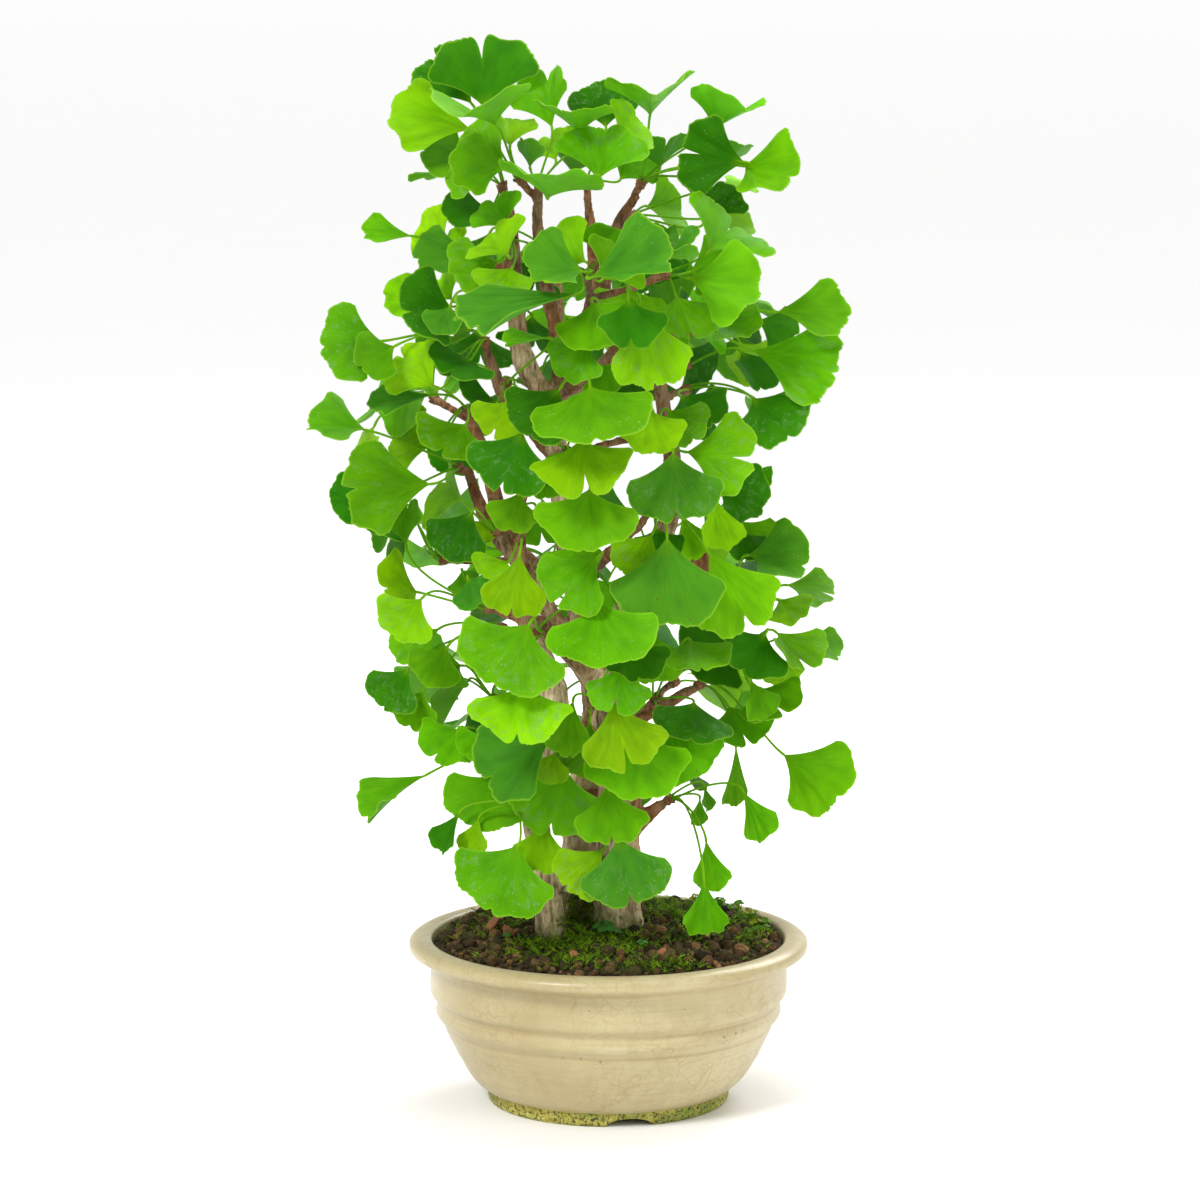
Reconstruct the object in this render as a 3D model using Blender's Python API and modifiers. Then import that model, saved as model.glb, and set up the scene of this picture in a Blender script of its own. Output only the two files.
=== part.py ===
"""Ginkgo bonsai: a clump of trunks with whorls of fan leaves, in soil, in a round glazed pot.

Metres, +Z up, front towards -Y. The pot stands on z = 0.
"""
import math
import random
from collections import namedtuple

import bmesh
import bpy
from mathutils import Matrix, Vector
from mathutils.bvhtree import BVHTree

MM = 0.001
SEAT_GAP = 0.3 * MM
LEAF_SEED = 2796

# The pot's axis, set off so that the whole part's box is centred on the origin
POT_AXIS = Vector((0.0156, -0.0073, 0.0))

# The view that the places below were read in: pixels across and down a square picture
VIEW_POINT = Vector((-0.005, -2.7, 0.718))
VIEW_DOWN = math.radians(8.73)
VIEW_FOCAL = 4592.0
VIEW_MIDDLE = 600.0

# The pot, in millimetres
POT_STEPS = 28
POT_DRAIN_RADIUS = 9.0
POT_FLOOR_TOP = 15.0
POT_INNER_RADIUS = 104.5
POT_OUTSIDE = (
    (106.5, 99.5), (112.5, 100.0), (118.6, 98.0), (120.0, 95.6), (118.5, 91.8), (108.0, 89.0),
    (106.4, 67.0), (103.6, 62.8), (102.6, 52.5), (99.2, 47.5), (93.0, 33.0), (84.5, 18.0),
    (73.0, 7.6), (72.0, 0.0), (63.0, 0.0), (61.5, 7.6), (POT_DRAIN_RADIUS, 8.0),
)
POT_INSIDE = (
    (POT_DRAIN_RADIUS, POT_FLOOR_TOP), (72.0, POT_FLOOR_TOP), (97.0, 50.0),
    (POT_INNER_RADIUS, 85.0),
)
FOOT_NOTCH_WIDTH = 26.0
FOOT_NOTCH_HEIGHT = 5.0
FOOT_NOTCH_TURNS = (-80.0, 40.0, 160.0)
FOOT_RING_RADIUS = 67.5

# The soil: a turned body that rises to the trunks
SOIL_TOP = ((106.0, 98.0), (88.0, 101.5), (50.0, 106.0), (0.0, 108.5))

# The root stock, an oval plug that stands in the soil
STOCK_MIDDLE = (-12.0, -18.0)
STOCK_RADII = (42.0, 32.0)
STOCK_BOTTOM = 86.0
STOCK_TOP = 107.0
STOCK_TAPER = 4.0
STOCK_SIDES = 14
HOLE_CUT_ABOVE = 6.0

# Limbs: pixels across and down, depth behind the pot's axis and radius in millimetres
LIMBS = {
    "left_trunk": (
        (553, 948, -32, 10.0), (549, 905, -32, 8.5), (541, 850, -32, 7.8), (532, 795, -31, 7.6),
        (543, 752, -28, 7.8), (556, 712, -24, 7.5), (547, 672, -20, 8.5), (534, 640, -14, 6.5),
        (523, 605, -10, 5.0), (521, 560, -6, 3.6), (522, 500, -3, 3.2), (530, 450, 0, 3.0),
    ),
    "right_trunk": (
        (617, 950, -14, 17.0), (617, 900, -14, 14.5), (619, 850, -13, 13.2), (620, 800, -12, 12.4),
        (613, 745, -11, 11.5), (608, 695, -9, 10.5), (613, 655, -8, 9.0), (628, 605, -6, 7.8),
        (650, 560, -4, 7.0), (670, 515, -2, 6.2), (672, 455, -2, 5.2), (662, 400, -5, 4.4),
        (655, 344, -9, 3.2),
    ),
    "back_trunk": (
        (583, 938, -3, 12.5), (581, 880, 6, 12.3), (582, 820, 11, 11.8), (590, 760, 12, 11.0),
        (598, 705, 12, 10.0), (592, 650, 10, 9.0), (577, 590, 6, 8.5), (566, 520, 2, 7.8),
        (558, 455, 0, 7.2), (545, 400, 0, 6.8), (523, 358, 0, 6.6), (516, 310, 2, 5.8),
        (513, 255, 2, 5.0), (507, 202, 2, 3.8),
    ),
    "cross_limb": (
        (600, 695, 8, 7.0), (578, 662, 2, 6.0), (560, 645, -4, 5.6), (545, 626, -8, 5.0),
        (520, 617, -10, 4.2), (500, 611, -10, 3.4),
    ),
    "left_limb": (
        (574, 650, 6, 6.0), (542, 600, 4, 6.0), (516, 556, 3, 6.2), (500, 515, 5, 5.4),
        (486, 462, 6, 4.6), (471, 421, 4, 3.6),
    ),
    "left_limb_twin": (
        (518, 562, 4, 5.0), (494, 532, 11, 4.8), (478, 500, 17, 4.2), (468, 470, 22, 3.2),
    ),
    "second_leader": (
        (554, 440, 2, 6.0), (560, 380, 5, 5.4), (556, 330, 3, 5.0), (545, 280, 1, 4.4),
        (538, 230, -2, 3.8), (538, 200, -5, 3.0),
    ),
    "third_leader": (
        (558, 400, 5, 5.0), (580, 345, 14, 4.6), (593, 290, 14, 4.0), (592, 240, 9, 3.5),
        (587, 196, 3, 2.8),
    ),
    "fourth_leader": (
        (570, 372, 9, 4.6), (600, 312, 22, 4.2), (608, 262, 18, 3.8), (618, 224, 9, 3.4),
        (637, 195, 1, 2.8),
    ),
    "right_limb": (
        (644, 572, -5, 6.0), (672, 566, 12, 5.0), (702, 562, 22, 4.4), (728, 582, 22, 4.0),
        (742, 612, 13, 3.2),
    ),
    "left_upper_limb": (
        (548, 412, 0, 5.0), (520, 405, -3, 4.4), (503, 393, -6, 4.4), (494, 370, -10, 3.8),
        (487, 352, -12, 3.0),
    ),
    "low_stub": ((624, 836, -14, 6.0), (646, 816, -18, 5.0), (662, 804, -20, 3.8)),
    "right_twig": ((618, 738, -9, 5.0), (645, 716, -7, 4.2), (672, 701, -3, 3.8), (690, 689, 3, 3.0)),
    "front_low_limb": ((612, 750, -14, 5.0), (597, 738, -36, 4.2), (585, 724, -50, 3.2)),
    "front_middle_limb": ((612, 660, -10, 5.0), (594, 640, -36, 4.0), (578, 622, -54, 3.2)),
    "front_centre_limb": ((576, 580, 4, 5.5), (600, 562, -30, 4.4), (626, 538, -56, 3.2)),
    "front_upper_limb": ((557, 460, -2, 5.0), (568, 458, -30, 4.2), (574, 455, -50, 3.2)),
    "front_top_limb": ((546, 402, -2, 5.0), (568, 388, -20, 4.4), (588, 374, -38, 3.4)),
    "front_crown_limb": ((578, 350, 12, 4.2), (587, 322, -18, 3.8), (591, 298, -42, 3.0)),
    "back_low_limb": ((588, 765, 15, 5.5), (575, 738, 45, 4.4), (562, 712, 72, 3.2)),
    "back_low_right_limb": ((598, 740, 14, 5.5), (636, 722, 44, 4.4), (660, 694, 68, 3.2)),
    "back_left_limb": ((577, 592, 9, 5.5), (545, 572, 45, 4.4), (516, 545, 72, 3.2)),
    "back_right_limb": ((630, 602, -4, 5.5), (650, 582, 34, 4.4), (678, 556, 68, 3.2)),
    "back_upper_left_limb": ((557, 460, 2, 5.0), (535, 434, 38, 4.2), (504, 404, 68, 3.2)),
    "back_upper_limb": ((560, 392, 8, 5.0), (585, 382, 44, 4.2), (616, 354, 72, 3.2)),
    "back_top_limb": ((556, 334, 6, 4.2), (558, 304, 34, 3.6), (556, 272, 58, 3.0)),
}
# Limbs at least this thick get 8 or 6 sides, thinner ones 4
EIGHT_SIDES_FROM = 14.0
SIX_SIDES_FROM = 4.9

# Spurs and their whorls
SPUR_RADIUS = 2.9
TWIG_RADIUS = 2.4
SPUR_SIDES = 3
COLLAR_RADII = (2.9, 2.75)
COLLAR_HEIGHT = 3.6
COLLAR_SIDES = 4
WHORL_RADIUS = 1.45
STALK_RADIUS = 0.62
STRAIGHT_STALK_UNDER = 32.0
BLADE_THICKNESS = 0.75
TEST_THICKNESS = 2.4
TEST_STALK_RADIUS = 1.3
TONES = {
    "y": (0.42, 0.62, 0.06), "g": (0.17, 0.42, 0.03), "d": (0.08, 0.28, 0.02), "b": (0.22, 0.42, 0.12),
    "u": (0.28, 0.50, 0.08),
}

# A leaf: where its stalk meets the blade and the middle of its far edge, in pixels; depth of the
# stalk's end, and width, in millimetres; roll about its length and fold of its halves, in degrees
Leaf = namedtuple("Leaf", "foot_x foot_y rim_x rim_y depth width roll fold tone")
# A whorl: its spur's tip in pixels and depth in millimetres, and its leaves
Tuft = namedtuple("Tuft", "tip_x tip_y depth leaves")

FRONT_TUFTS = (
    # Top, left of the leaders
    Tuft(522, 182, -10, (
        Leaf(486, 110, 480, 34, -4, 64, 0, 22, "d"), Leaf(496, 125, 460, 104, -40, 66, 10, 32, "u"),
        Leaf(507, 170, 452, 146, -34, 54, 10, 20, "g"), Leaf(506, 168, 452, 162, -44, 42, 15, 15, "g"),
        Leaf(510, 146, 512, 116, -20, 34, 10, 20, "y"),
    )),
    Tuft(503, 190, 8, (
        Leaf(472, 104, 430, 52, 6, 44, 10, 15, "d"), Leaf(472, 130, 394, 110, 0, 48, 15, 15, "y"),
        Leaf(474, 164, 422, 148, 4, 44, 30, 15, "g"), Leaf(455, 174, 411, 173, 14, 26, 75, 5, "g"),
        Leaf(489, 209, 446, 214, 10, 38, 30, 20, "d"),
    )),
    Tuft(539, 190, -10, (
        Leaf(552, 128, 542, 68, -8, 46, 40, 25, "g"), Leaf(580, 135, 560, 102, -30, 54, 15, 34, "u"),
        Leaf(548, 198, 550, 168, -52, 72, 10, 22, "u"), Leaf(556, 160, 548, 134, 4, 34, 20, 25, "y"),
        Leaf(530, 168, 525, 137, 2, 24, 40, 20, "b"),
    )),
    Tuft(587, 186, 0, (
        Leaf(606, 128, 600, 82, -4, 40, 10, 12, "d"), Leaf(598, 180, 606, 124, -26, 52, 5, 14, "g"),
        Leaf(575, 176, 560, 144, 12, 34, 30, 20, "b"), Leaf(620, 180, 642, 146, 6, 36, 20, 15, "g"),
    )),
    Tuft(640, 186, -2, (
        Leaf(650, 115, 657, 84, -6, 58, 10, 34, "u"), Leaf(618, 140, 640, 112, 8, 36, 30, 15, "y"),
        Leaf(712, 131, 748, 100, 4, 54, 5, 36, "u"), Leaf(660, 168, 668, 134, 14, 36, 20, 25, "b"),
        Leaf(745, 162, 680, 152, -18, 48, 35, 15, "d"), Leaf(744, 166, 790, 172, -8, 50, 15, 25, "g"),
        Leaf(720, 172, 738, 140, 18, 36, 20, 15, "b"),
    )),
    Tuft(632, 216, 18, (
        Leaf(704, 222, 716, 178, 6, 42, 25, 25, "d"), Leaf(706, 218, 750, 206, 18, 42, 15, 10, "y"),
        Leaf(646, 206, 688, 214, 12, 42, 20, 15, "g"), Leaf(722, 186, 756, 182, 26, 30, 50, 10, "y"),
        Leaf(652, 250, 654, 292, 32, 44, 20, 15, "d"),
    )),
    # Upper right
    Tuft(662, 276, -30, (
        Leaf(708, 252, 740, 216, -40, 62, 10, 30, "g"), Leaf(688, 278, 758, 286, -62, 52, 10, 10, "g"),
        Leaf(690, 272, 728, 258, -34, 42, 20, 15, "g"), Leaf(640, 262, 668, 222, -44, 40, 10, 10, "b"),
        Leaf(668, 258, 690, 240, -60, 36, 50, 20, "b"), Leaf(676, 296, 694, 336, -24, 44, 20, 15, "g"),
    )),
    Tuft(658, 321, -10, (
        Leaf(776, 312, 846, 312, -18, 44, 20, 25, "g"), Leaf(757, 320, 796, 334, 2, 30, 5, 10, "b"),
        Leaf(752, 350, 836, 374, -24, 54, 10, 20, "g"), Leaf(672, 318, 692, 306, 8, 30, 40, 20, "d"),
        Leaf(720, 325, 752, 330, -8, 36, 30, 15, "g"),
    )),
    Tuft(684, 366, 16, (
        Leaf(686, 348, 710, 384, 20, 44, 15, 10, "d"), Leaf(740, 351, 766, 386, 10, 40, 45, 20, "d"),
        Leaf(690, 330, 722, 316, 30, 40, 20, 15, "g"), Leaf(648, 366, 640, 404, 34, 44, 15, 15, "d"),
    )),
    Tuft(683, 391, 6, (
        Leaf(752, 398, 790, 436, -34, 52, 10, 20, "d"), Leaf(680, 396, 712, 420, 0, 42, 20, 15, "d"),
        Leaf(756, 400, 774, 424, -8, 36, 50, 15, "g"), Leaf(690, 400, 722, 424, 16, 36, 20, 15, "d"),
    )),
    Tuft(644, 436, -46, (
        Leaf(673, 451, 676, 520, -92, 54, 0, 10, "b"), Leaf(686, 452, 754, 458, -74, 50, 5, 10, "g"),
        Leaf(648, 408, 655, 450, -84, 38, 10, 10, "y"), Leaf(668, 410, 694, 436, -62, 36, 10, 15, "g"),
    )),
    Tuft(706, 540, 14, (
        Leaf(716, 486, 764, 506, -20, 42, 15, 20, "d"), Leaf(714, 496, 722, 548, -50, 32, 30, 20, "y"),
        Leaf(741, 521, 760, 548, 6, 32, 20, 20, "g"), Leaf(736, 530, 745, 556, -18, 32, 20, 15, "d"),
        Leaf(740, 490, 768, 486, 10, 34, 30, 15, "g"),
    )),
    # Right
    Tuft(744, 602, 10, (
        Leaf(748, 555, 806, 560, -30, 50, 25, 30, "b"), Leaf(786, 585, 834, 592, 10, 38, 40, 15, "g"),
        Leaf(778, 600, 800, 614, -10, 30, 15, 10, "y"), Leaf(748, 560, 775, 574, -10, 38, 40, 15, "d"),
    )),
    Tuft(741, 640, 4, (
        Leaf(766, 633, 744, 670, -50, 42, 15, 15, "d"), Leaf(776, 632, 808, 668, -34, 46, 40, 30, "g"),
        Leaf(800, 636, 838, 656, -8, 38, 45, 15, "g"), Leaf(778, 656, 786, 686, -6, 26, 20, 15, "y"),
        Leaf(755, 690, 784, 710, -14, 42, 15, 15, "g"), Leaf(751, 680, 764, 718, -34, 28, 35, 20, "g"),
    )),
    Tuft(697, 686, 6, (
        Leaf(783, 754, 840, 796, -20, 54, 10, 15, "g"), Leaf(728, 706, 748, 742, 0, 42, 15, 15, "g"),
        Leaf(736, 745, 735, 803, -14, 24, 55, 15, "g"), Leaf(736, 640, 692, 660, -20, 50, 10, 10, "d"),
        Leaf(742, 690, 748, 712, 12, 26, 20, 15, "g"),
    )),
    Tuft(667, 801, -22, (
        Leaf(743, 791, 763, 838, -30, 30, 35, 25, "g"), Leaf(706, 840, 710, 889, -40, 28, 35, 20, "g"),
        Leaf(704, 880, 706, 932, -50, 27, 10, 15, "g"), Leaf(700, 798, 697, 824, -20, 16, 50, 15, "g"),
        Leaf(704, 786, 709, 810, -10, 16, 60, 15, "g"),
    )),
    # Centre, from the bottom up
    Tuft(655, 700, -33, (
        Leaf(668, 726, 702, 772, -60, 48, 10, 10, "g"), Leaf(694, 702, 692, 736, -40, 46, 15, 10, "d"),
        Leaf(652, 632, 650, 680, -56, 42, 10, 15, "g"), Leaf(690, 640, 702, 668, -44, 42, 10, 10, "g"),
    )),
    Tuft(592, 706, -58, (
        Leaf(612, 700, 630, 766, -96, 48, 5, 10, "y"), Leaf(634, 728, 640, 792, -76, 58, 5, 10, "g"),
        Leaf(573, 700, 568, 754, -86, 36, 35, 25, "g"), Leaf(590, 720, 588, 776, -74, 34, 25, 15, "g"),
        Leaf(620, 664, 616, 712, -72, 38, 15, 15, "g"),
    )),
    Tuft(575, 752, -54, (
        Leaf(565, 766, 548, 832, -84, 58, 5, 12, "g"), Leaf(607, 784, 612, 842, -82, 42, 5, 12, "g"),
        Leaf(553, 735, 484, 776, -92, 52, 5, 10, "b"), Leaf(556, 752, 546, 782, -66, 26, 20, 15, "y"),
    )),
    Tuft(594, 820, -46, (
        Leaf(604, 849, 566, 886, -70, 36, 10, 15, "y"), Leaf(618, 836, 632, 902, -86, 52, 0, 12, "b"),
        Leaf(545, 820, 538, 870, -64, 34, 15, 15, "y"),
    )),
    Tuft(520, 800, -52, (
        Leaf(519, 844, 490, 908, -76, 60, 0, 12, "g"), Leaf(500, 774, 474, 820, -62, 52, 5, 12, "g"),
        Leaf(460, 812, 440, 850, -50, 26, 45, 20, "d"), Leaf(479, 818, 470, 852, -44, 22, 30, 15, "y"),
    )),
    Tuft(548, 632, -62, (
        Leaf(525, 684, 516, 734, -104, 56, 5, 12, "y"), Leaf(530, 623, 494, 682, -106, 62, 0, 8, "g"),
        Leaf(598, 602, 608, 660, -104, 62, 0, 12, "g"),
    )),
    Tuft(592, 580, -64, (
        Leaf(598, 556, 556, 604, -86, 46, 10, 10, "g"), Leaf(575, 546, 570, 568, -72, 34, 15, 15, "g"),
        Leaf(628, 640, 640, 676, -86, 40, 15, 15, "d"),
    )),
    Tuft(520, 540, -34, (
        Leaf(520, 554, 511, 614, -92, 38, 0, 12, "y"), Leaf(520, 492, 508, 530, -70, 32, 15, 15, "g"),
        Leaf(508, 562, 484, 572, -44, 32, 20, 15, "y"),
    )),
    Tuft(648, 512, -60, (
        Leaf(667, 536, 668, 624, -108, 64, 0, 10, "b"), Leaf(652, 534, 628, 574, -88, 36, 10, 15, "y"),
        Leaf(656, 528, 662, 556, -74, 30, 15, 15, "d"), Leaf(708, 552, 752, 624, -84, 52, 5, 10, "g"),
        Leaf(682, 514, 694, 558, -82, 30, 35, 20, "y"),
    )),
    Tuft(568, 452, -62, (
        Leaf(590, 488, 583, 544, -102, 56, 5, 12, "g"), Leaf(580, 440, 586, 486, -108, 55, 5, 12, "y"),
        Leaf(545, 462, 545, 497, -72, 30, 15, 15, "g"), Leaf(523, 431, 500, 490, -92, 50, 0, 12, "d"),
    )),
    Tuft(586, 368, -52, (
        Leaf(590, 386, 596, 440, -112, 68, 5, 12, "g"), Leaf(590, 342, 562, 374, -80, 36, 10, 15, "g"),
        Leaf(560, 388, 528, 436, -88, 46, 5, 15, "d"), Leaf(594, 364, 614, 392, -76, 28, 15, 15, "g"),
    )),
    Tuft(612, 352, -40, (
        Leaf(640, 302, 656, 384, -98, 46, 5, 10, "y"), Leaf(592, 302, 606, 344, -88, 48, 10, 15, "g"),
        Leaf(628, 298, 634, 346, -72, 40, 20, 15, "d"), Leaf(648, 340, 668, 366, -56, 36, 15, 15, "g"),
        Leaf(626, 284, 628, 324, -22, 42, 20, 15, "y"),
    )),
    Tuft(588, 276, -56, (
        Leaf(585, 272, 526, 264, -92, 50, 30, 25, "b"), Leaf(590, 278, 672, 256, -104, 60, -32, 30, "b"),
        Leaf(578, 294, 458, 316, -106, 62, 50, 15, "b"), Leaf(586, 262, 548, 242, -74, 42, 15, 15, "y"),
        Leaf(602, 280, 628, 250, -84, 40, 15, 15, "g"), Leaf(600, 258, 612, 224, -66, 32, 15, 15, "g"),
    )),
    # Left, from the top down
    Tuft(512, 240, -22, (
        Leaf(505, 228, 492, 198, -40, 34, 20, 15, "g"), Leaf(508, 256, 492, 228, -52, 40, 20, 20, "y"),
        Leaf(498, 262, 452, 274, -40, 42, 15, 15, "g"), Leaf(512, 268, 496, 292, -60, 36, 15, 15, "y"),
        Leaf(538, 258, 530, 300, 26, 42, 20, 15, "d"),
    )),
    Tuft(492, 264, 10, (
        Leaf(468, 250, 416, 256, -4, 42, 30, 15, "b"), Leaf(446, 243, 420, 218, 0, 34, 30, 20, "y"),
        Leaf(412, 236, 364, 232, 6, 26, 30, 15, "g"), Leaf(462, 246, 456, 226, 12, 16, 40, 20, "y"),
        Leaf(474, 258, 464, 280, 16, 24, 20, 20, "b"),
    )),
    Tuft(496, 304, 8, (
        Leaf(455, 312, 406, 306, -30, 50, 10, 15, "d"), Leaf(428, 306, 386, 292, 0, 36, 25, 15, "y"),
        Leaf(452, 300, 436, 276, 4, 30, 30, 20, "y"), Leaf(450, 306, 440, 334, -40, 26, 20, 20, "b"),
        Leaf(478, 328, 482, 370, 24, 44, 20, 15, "d"), Leaf(532, 316, 536, 356, 30, 42, 20, 15, "d"),
    )),
    Tuft(486, 345, -14, (
        Leaf(382, 341, 322, 346, -22, 50, 5, 12, "g"), Leaf(395, 346, 360, 366, -34, 34, 10, 15, "g"),
        Leaf(434, 388, 398, 352, -36, 40, 15, 15, "y"), Leaf(458, 354, 424, 352, -20, 38, 20, 15, "b"),
        Leaf(470, 360, 448, 372, -34, 40, 15, 15, "d"),
    )),
    Tuft(506, 384, -16, (
        Leaf(510, 400, 491, 436, -70, 34, 10, 15, "y"), Leaf(548, 338, 504, 340, -50, 26, 50, 15, "g"),
        Leaf(496, 402, 470, 400, -32, 36, 20, 15, "d"), Leaf(536, 396, 542, 438, 22, 44, 20, 15, "d"),
    )),
    Tuft(468, 413, 2, (
        Leaf(433, 395, 370, 406, -20, 34, 45, 20, "b"), Leaf(433, 446, 392, 430, 8, 42, 25, 15, "y"),
        Leaf(428, 440, 420, 406, 22, 24, 50, 15, "b"), Leaf(466, 424, 440, 452, -32, 46, 5, 10, "g"),
        Leaf(432, 386, 412, 386, 0, 24, 30, 15, "y"),
    )),
    Tuft(460, 468, 10, (
        Leaf(366, 430, 310, 420, 0, 46, 40, 25, "g"), Leaf(431, 484, 346, 488, -24, 58, 0, 12, "g"),
        Leaf(372, 500, 330, 500, 10, 36, 15, 15, "d"),
    )),
    Tuft(500, 531, -16, (
        Leaf(462, 500, 440, 478, -34, 58, 50, 25, "y"), Leaf(473, 510, 448, 558, -30, 40, 5, 15, "d"),
        Leaf(490, 520, 478, 538, -2, 26, 20, 15, "y"), Leaf(536, 506, 544, 548, 16, 42, 20, 15, "g"),
    )),
    Tuft(490, 609, -14, (
        Leaf(406, 545, 405, 500, -16, 34, 40, 20, "g"), Leaf(417, 592, 384, 586, -22, 44, 5, 12, "y"),
        Leaf(422, 598, 392, 634, -38, 38, 5, 12, "y"), Leaf(468, 578, 478, 602, -26, 28, 35, 20, "b"),
        Leaf(462, 570, 470, 590, 6, 24, 30, 15, "g"),
    )),
    Tuft(504, 628, 8, (
        Leaf(440, 628, 396, 658, 6, 38, 30, 15, "g"), Leaf(409, 668, 382, 706, -6, 36, 10, 15, "d"),
        Leaf(448, 646, 424, 682, -16, 36, 15, 15, "g"), Leaf(424, 690, 408, 726, 0, 32, 15, 15, "g"),
    )),
    Tuft(506, 746, -2, (
        Leaf(463, 729, 432, 756, -16, 38, 10, 15, "g"), Leaf(486, 734, 470, 714, -10, 36, 35, 15, "d"),
        Leaf(426, 775, 362, 810, -24, 48, 50, 30, "g"), Leaf(490, 736, 466, 754, -30, 30, 20, 15, "g"),
    )),
)

# Tips of the spurs that no photograph shows, behind the tree: pixels and depth in millimetres
BACK_TIPS = (
    (560, 704, 84), (498, 700, 46), (672, 684, 80), (628, 776, 52), (548, 562, 84), (446, 560, 44),
    (660, 560, 80), (530, 416, 80), (436, 400, 40), (626, 366, 84), (706, 330, 48), (554, 262, 70),
    (628, 290, 56), (592, 628, 54),
)
BACK_LEAVES_EACH = 5
BACK_TRIES = 160
# How far to either side of straight out the leaves of a hidden whorl spread, in degrees
SWEEP = 95.0
# Outline that the hidden leaves keep inside, seen from the front: down, left and right in pixels
CROWN_OUTLINE = (
    (236, 450, 690), (300, 408, 762), (350, 395, 800), (400, 372, 780), (450, 350, 758),
    (500, 350, 752), (560, 405, 790), (620, 392, 815), (680, 385, 790), (720, 428, 745),
    (760, 456, 716), (800, 460, 690), (850, 520, 660),
)


def at_pixel(across, down, depth):
    """World point seen at a pixel of the reading view, at a depth in mm behind the pot's axis."""
    right = (across - VIEW_MIDDLE) / VIEW_FOCAL
    up = (VIEW_MIDDLE - down) / VIEW_FOCAL
    ray = Vector((
        right,
        math.cos(VIEW_DOWN) + up * math.sin(VIEW_DOWN),
        up * math.cos(VIEW_DOWN) - math.sin(VIEW_DOWN),
    ))
    reach = (depth * MM - VIEW_POINT.y) / ray.y
    return VIEW_POINT + ray * reach + POT_AXIS


def to_pixel(point):
    """Pixel of the reading view where a world point shows."""
    away = point - POT_AXIS - VIEW_POINT
    forward = away.y * math.cos(VIEW_DOWN) - away.z * math.sin(VIEW_DOWN)
    up = away.y * math.sin(VIEW_DOWN) + away.z * math.cos(VIEW_DOWN)
    return (
        VIEW_MIDDLE + VIEW_FOCAL * away.x / forward,
        VIEW_MIDDLE - VIEW_FOCAL * up / forward,
    )


def clear_scene():
    for obj in list(bpy.data.objects):
        bpy.data.objects.remove(obj, do_unlink=True)


def make_collection(name):
    collection = bpy.data.collections.new(name)
    bpy.context.scene.collection.children.link(collection)
    return collection


def make_material(name, colour, roughness):
    material = bpy.data.materials.new(name)
    material.use_nodes = True
    shader = material.node_tree.nodes["Principled BSDF"]
    shader.inputs["Base Color"].default_value = (*colour, 1.0)
    shader.inputs["Roughness"].default_value = roughness
    shader.inputs["Metallic"].default_value = 0.0
    return material


def object_from(name, vertices, faces, collection):
    """Mesh object from points and faces, with every face turned outwards."""
    mesh = bpy.data.meshes.new(name)
    mesh.from_pydata([tuple(v) for v in vertices], [], faces)
    mesh.validate()
    work = bmesh.new()
    work.from_mesh(mesh)
    bmesh.ops.recalc_face_normals(work, faces=work.faces)
    if work.calc_volume(signed=True) < 0.0:
        bmesh.ops.reverse_faces(work, faces=work.faces)
    work.to_mesh(mesh)
    work.free()
    obj = bpy.data.objects.new(name, mesh)
    collection.objects.link(obj)
    return obj


def turned(name, profile, steps, collection):
    """Solid of revolution from a closed profile of radius and height in millimetres."""
    count = len(profile)
    vertices = [(radius * MM, 0.0, height * MM) for radius, height in profile]
    mesh = bpy.data.meshes.new(name)
    mesh.from_pydata(vertices, [(i, (i + 1) % count) for i in range(count)], [])
    obj = bpy.data.objects.new(name, mesh)
    collection.objects.link(obj)
    screw = obj.modifiers.new("turn", "SCREW")
    screw.axis = "Z"
    screw.steps = steps
    screw.render_steps = steps
    screw.use_merge_vertices = True
    screw.merge_threshold = 0.00005
    screw.use_normal_calculate = False
    return obj


def cylinder(name, radius, depth, sides, collection):
    mesh = bpy.data.meshes.new(name)
    work = bmesh.new()
    bmesh.ops.create_cone(
        work, cap_ends=True, segments=sides, radius1=radius, radius2=radius, depth=depth)
    work.to_mesh(mesh)
    work.free()
    obj = bpy.data.objects.new(name, mesh)
    collection.objects.link(obj)
    return obj


def cut(target, cutter):
    modifier = target.modifiers.new("cut " + cutter.name, "BOOLEAN")
    modifier.operation = "DIFFERENCE"
    modifier.solver = "EXACT"
    modifier.object = cutter


def build_pot(parts, cutters):
    """Turned pot with a drain hole, and arches cut through its foot ring."""
    pot = turned("pot", POT_OUTSIDE + POT_INSIDE, POT_STEPS, parts)
    pot.location = POT_AXIS
    for turn in FOOT_NOTCH_TURNS:
        notch = cylinder("foot_notch_cutter", FOOT_NOTCH_WIDTH / 2 * MM, 40 * MM, 12, cutters)
        flatten = FOOT_NOTCH_HEIGHT / (FOOT_NOTCH_WIDTH / 2)
        outward = Matrix.Rotation(math.radians(turn), 4, "Z")
        lie = Matrix.Rotation(math.radians(90), 4, "Y")
        squeeze = Matrix.Diagonal((1.0, 1.0, flatten, 1.0))
        place = Matrix.Translation((FOOT_RING_RADIUS * MM, 0.0, 0.0))
        notch.data.transform(Matrix.Translation(POT_AXIS) @ outward @ place @ squeeze @ lie)
        cut(pot, notch)
    pot.data.materials.append(make_material("cream_glaze", (0.78, 0.72, 0.58), 0.35))
    return pot


def stock_outline(grow, height):
    """Ring of points round the tapered root stock, grown outwards by some millimetres."""
    grow += STOCK_TAPER * (height - STOCK_TOP) / (STOCK_TOP - STOCK_BOTTOM)
    ring = []
    for step in range(STOCK_SIDES):
        angle = math.tau * step / STOCK_SIDES
        ring.append(POT_AXIS + Vector((
            (STOCK_MIDDLE[0] + (STOCK_RADII[0] + grow) * math.cos(angle)) * MM,
            (STOCK_MIDDLE[1] + (STOCK_RADII[1] + grow) * math.sin(angle)) * MM,
            height * MM,
        )))
    return ring


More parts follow.
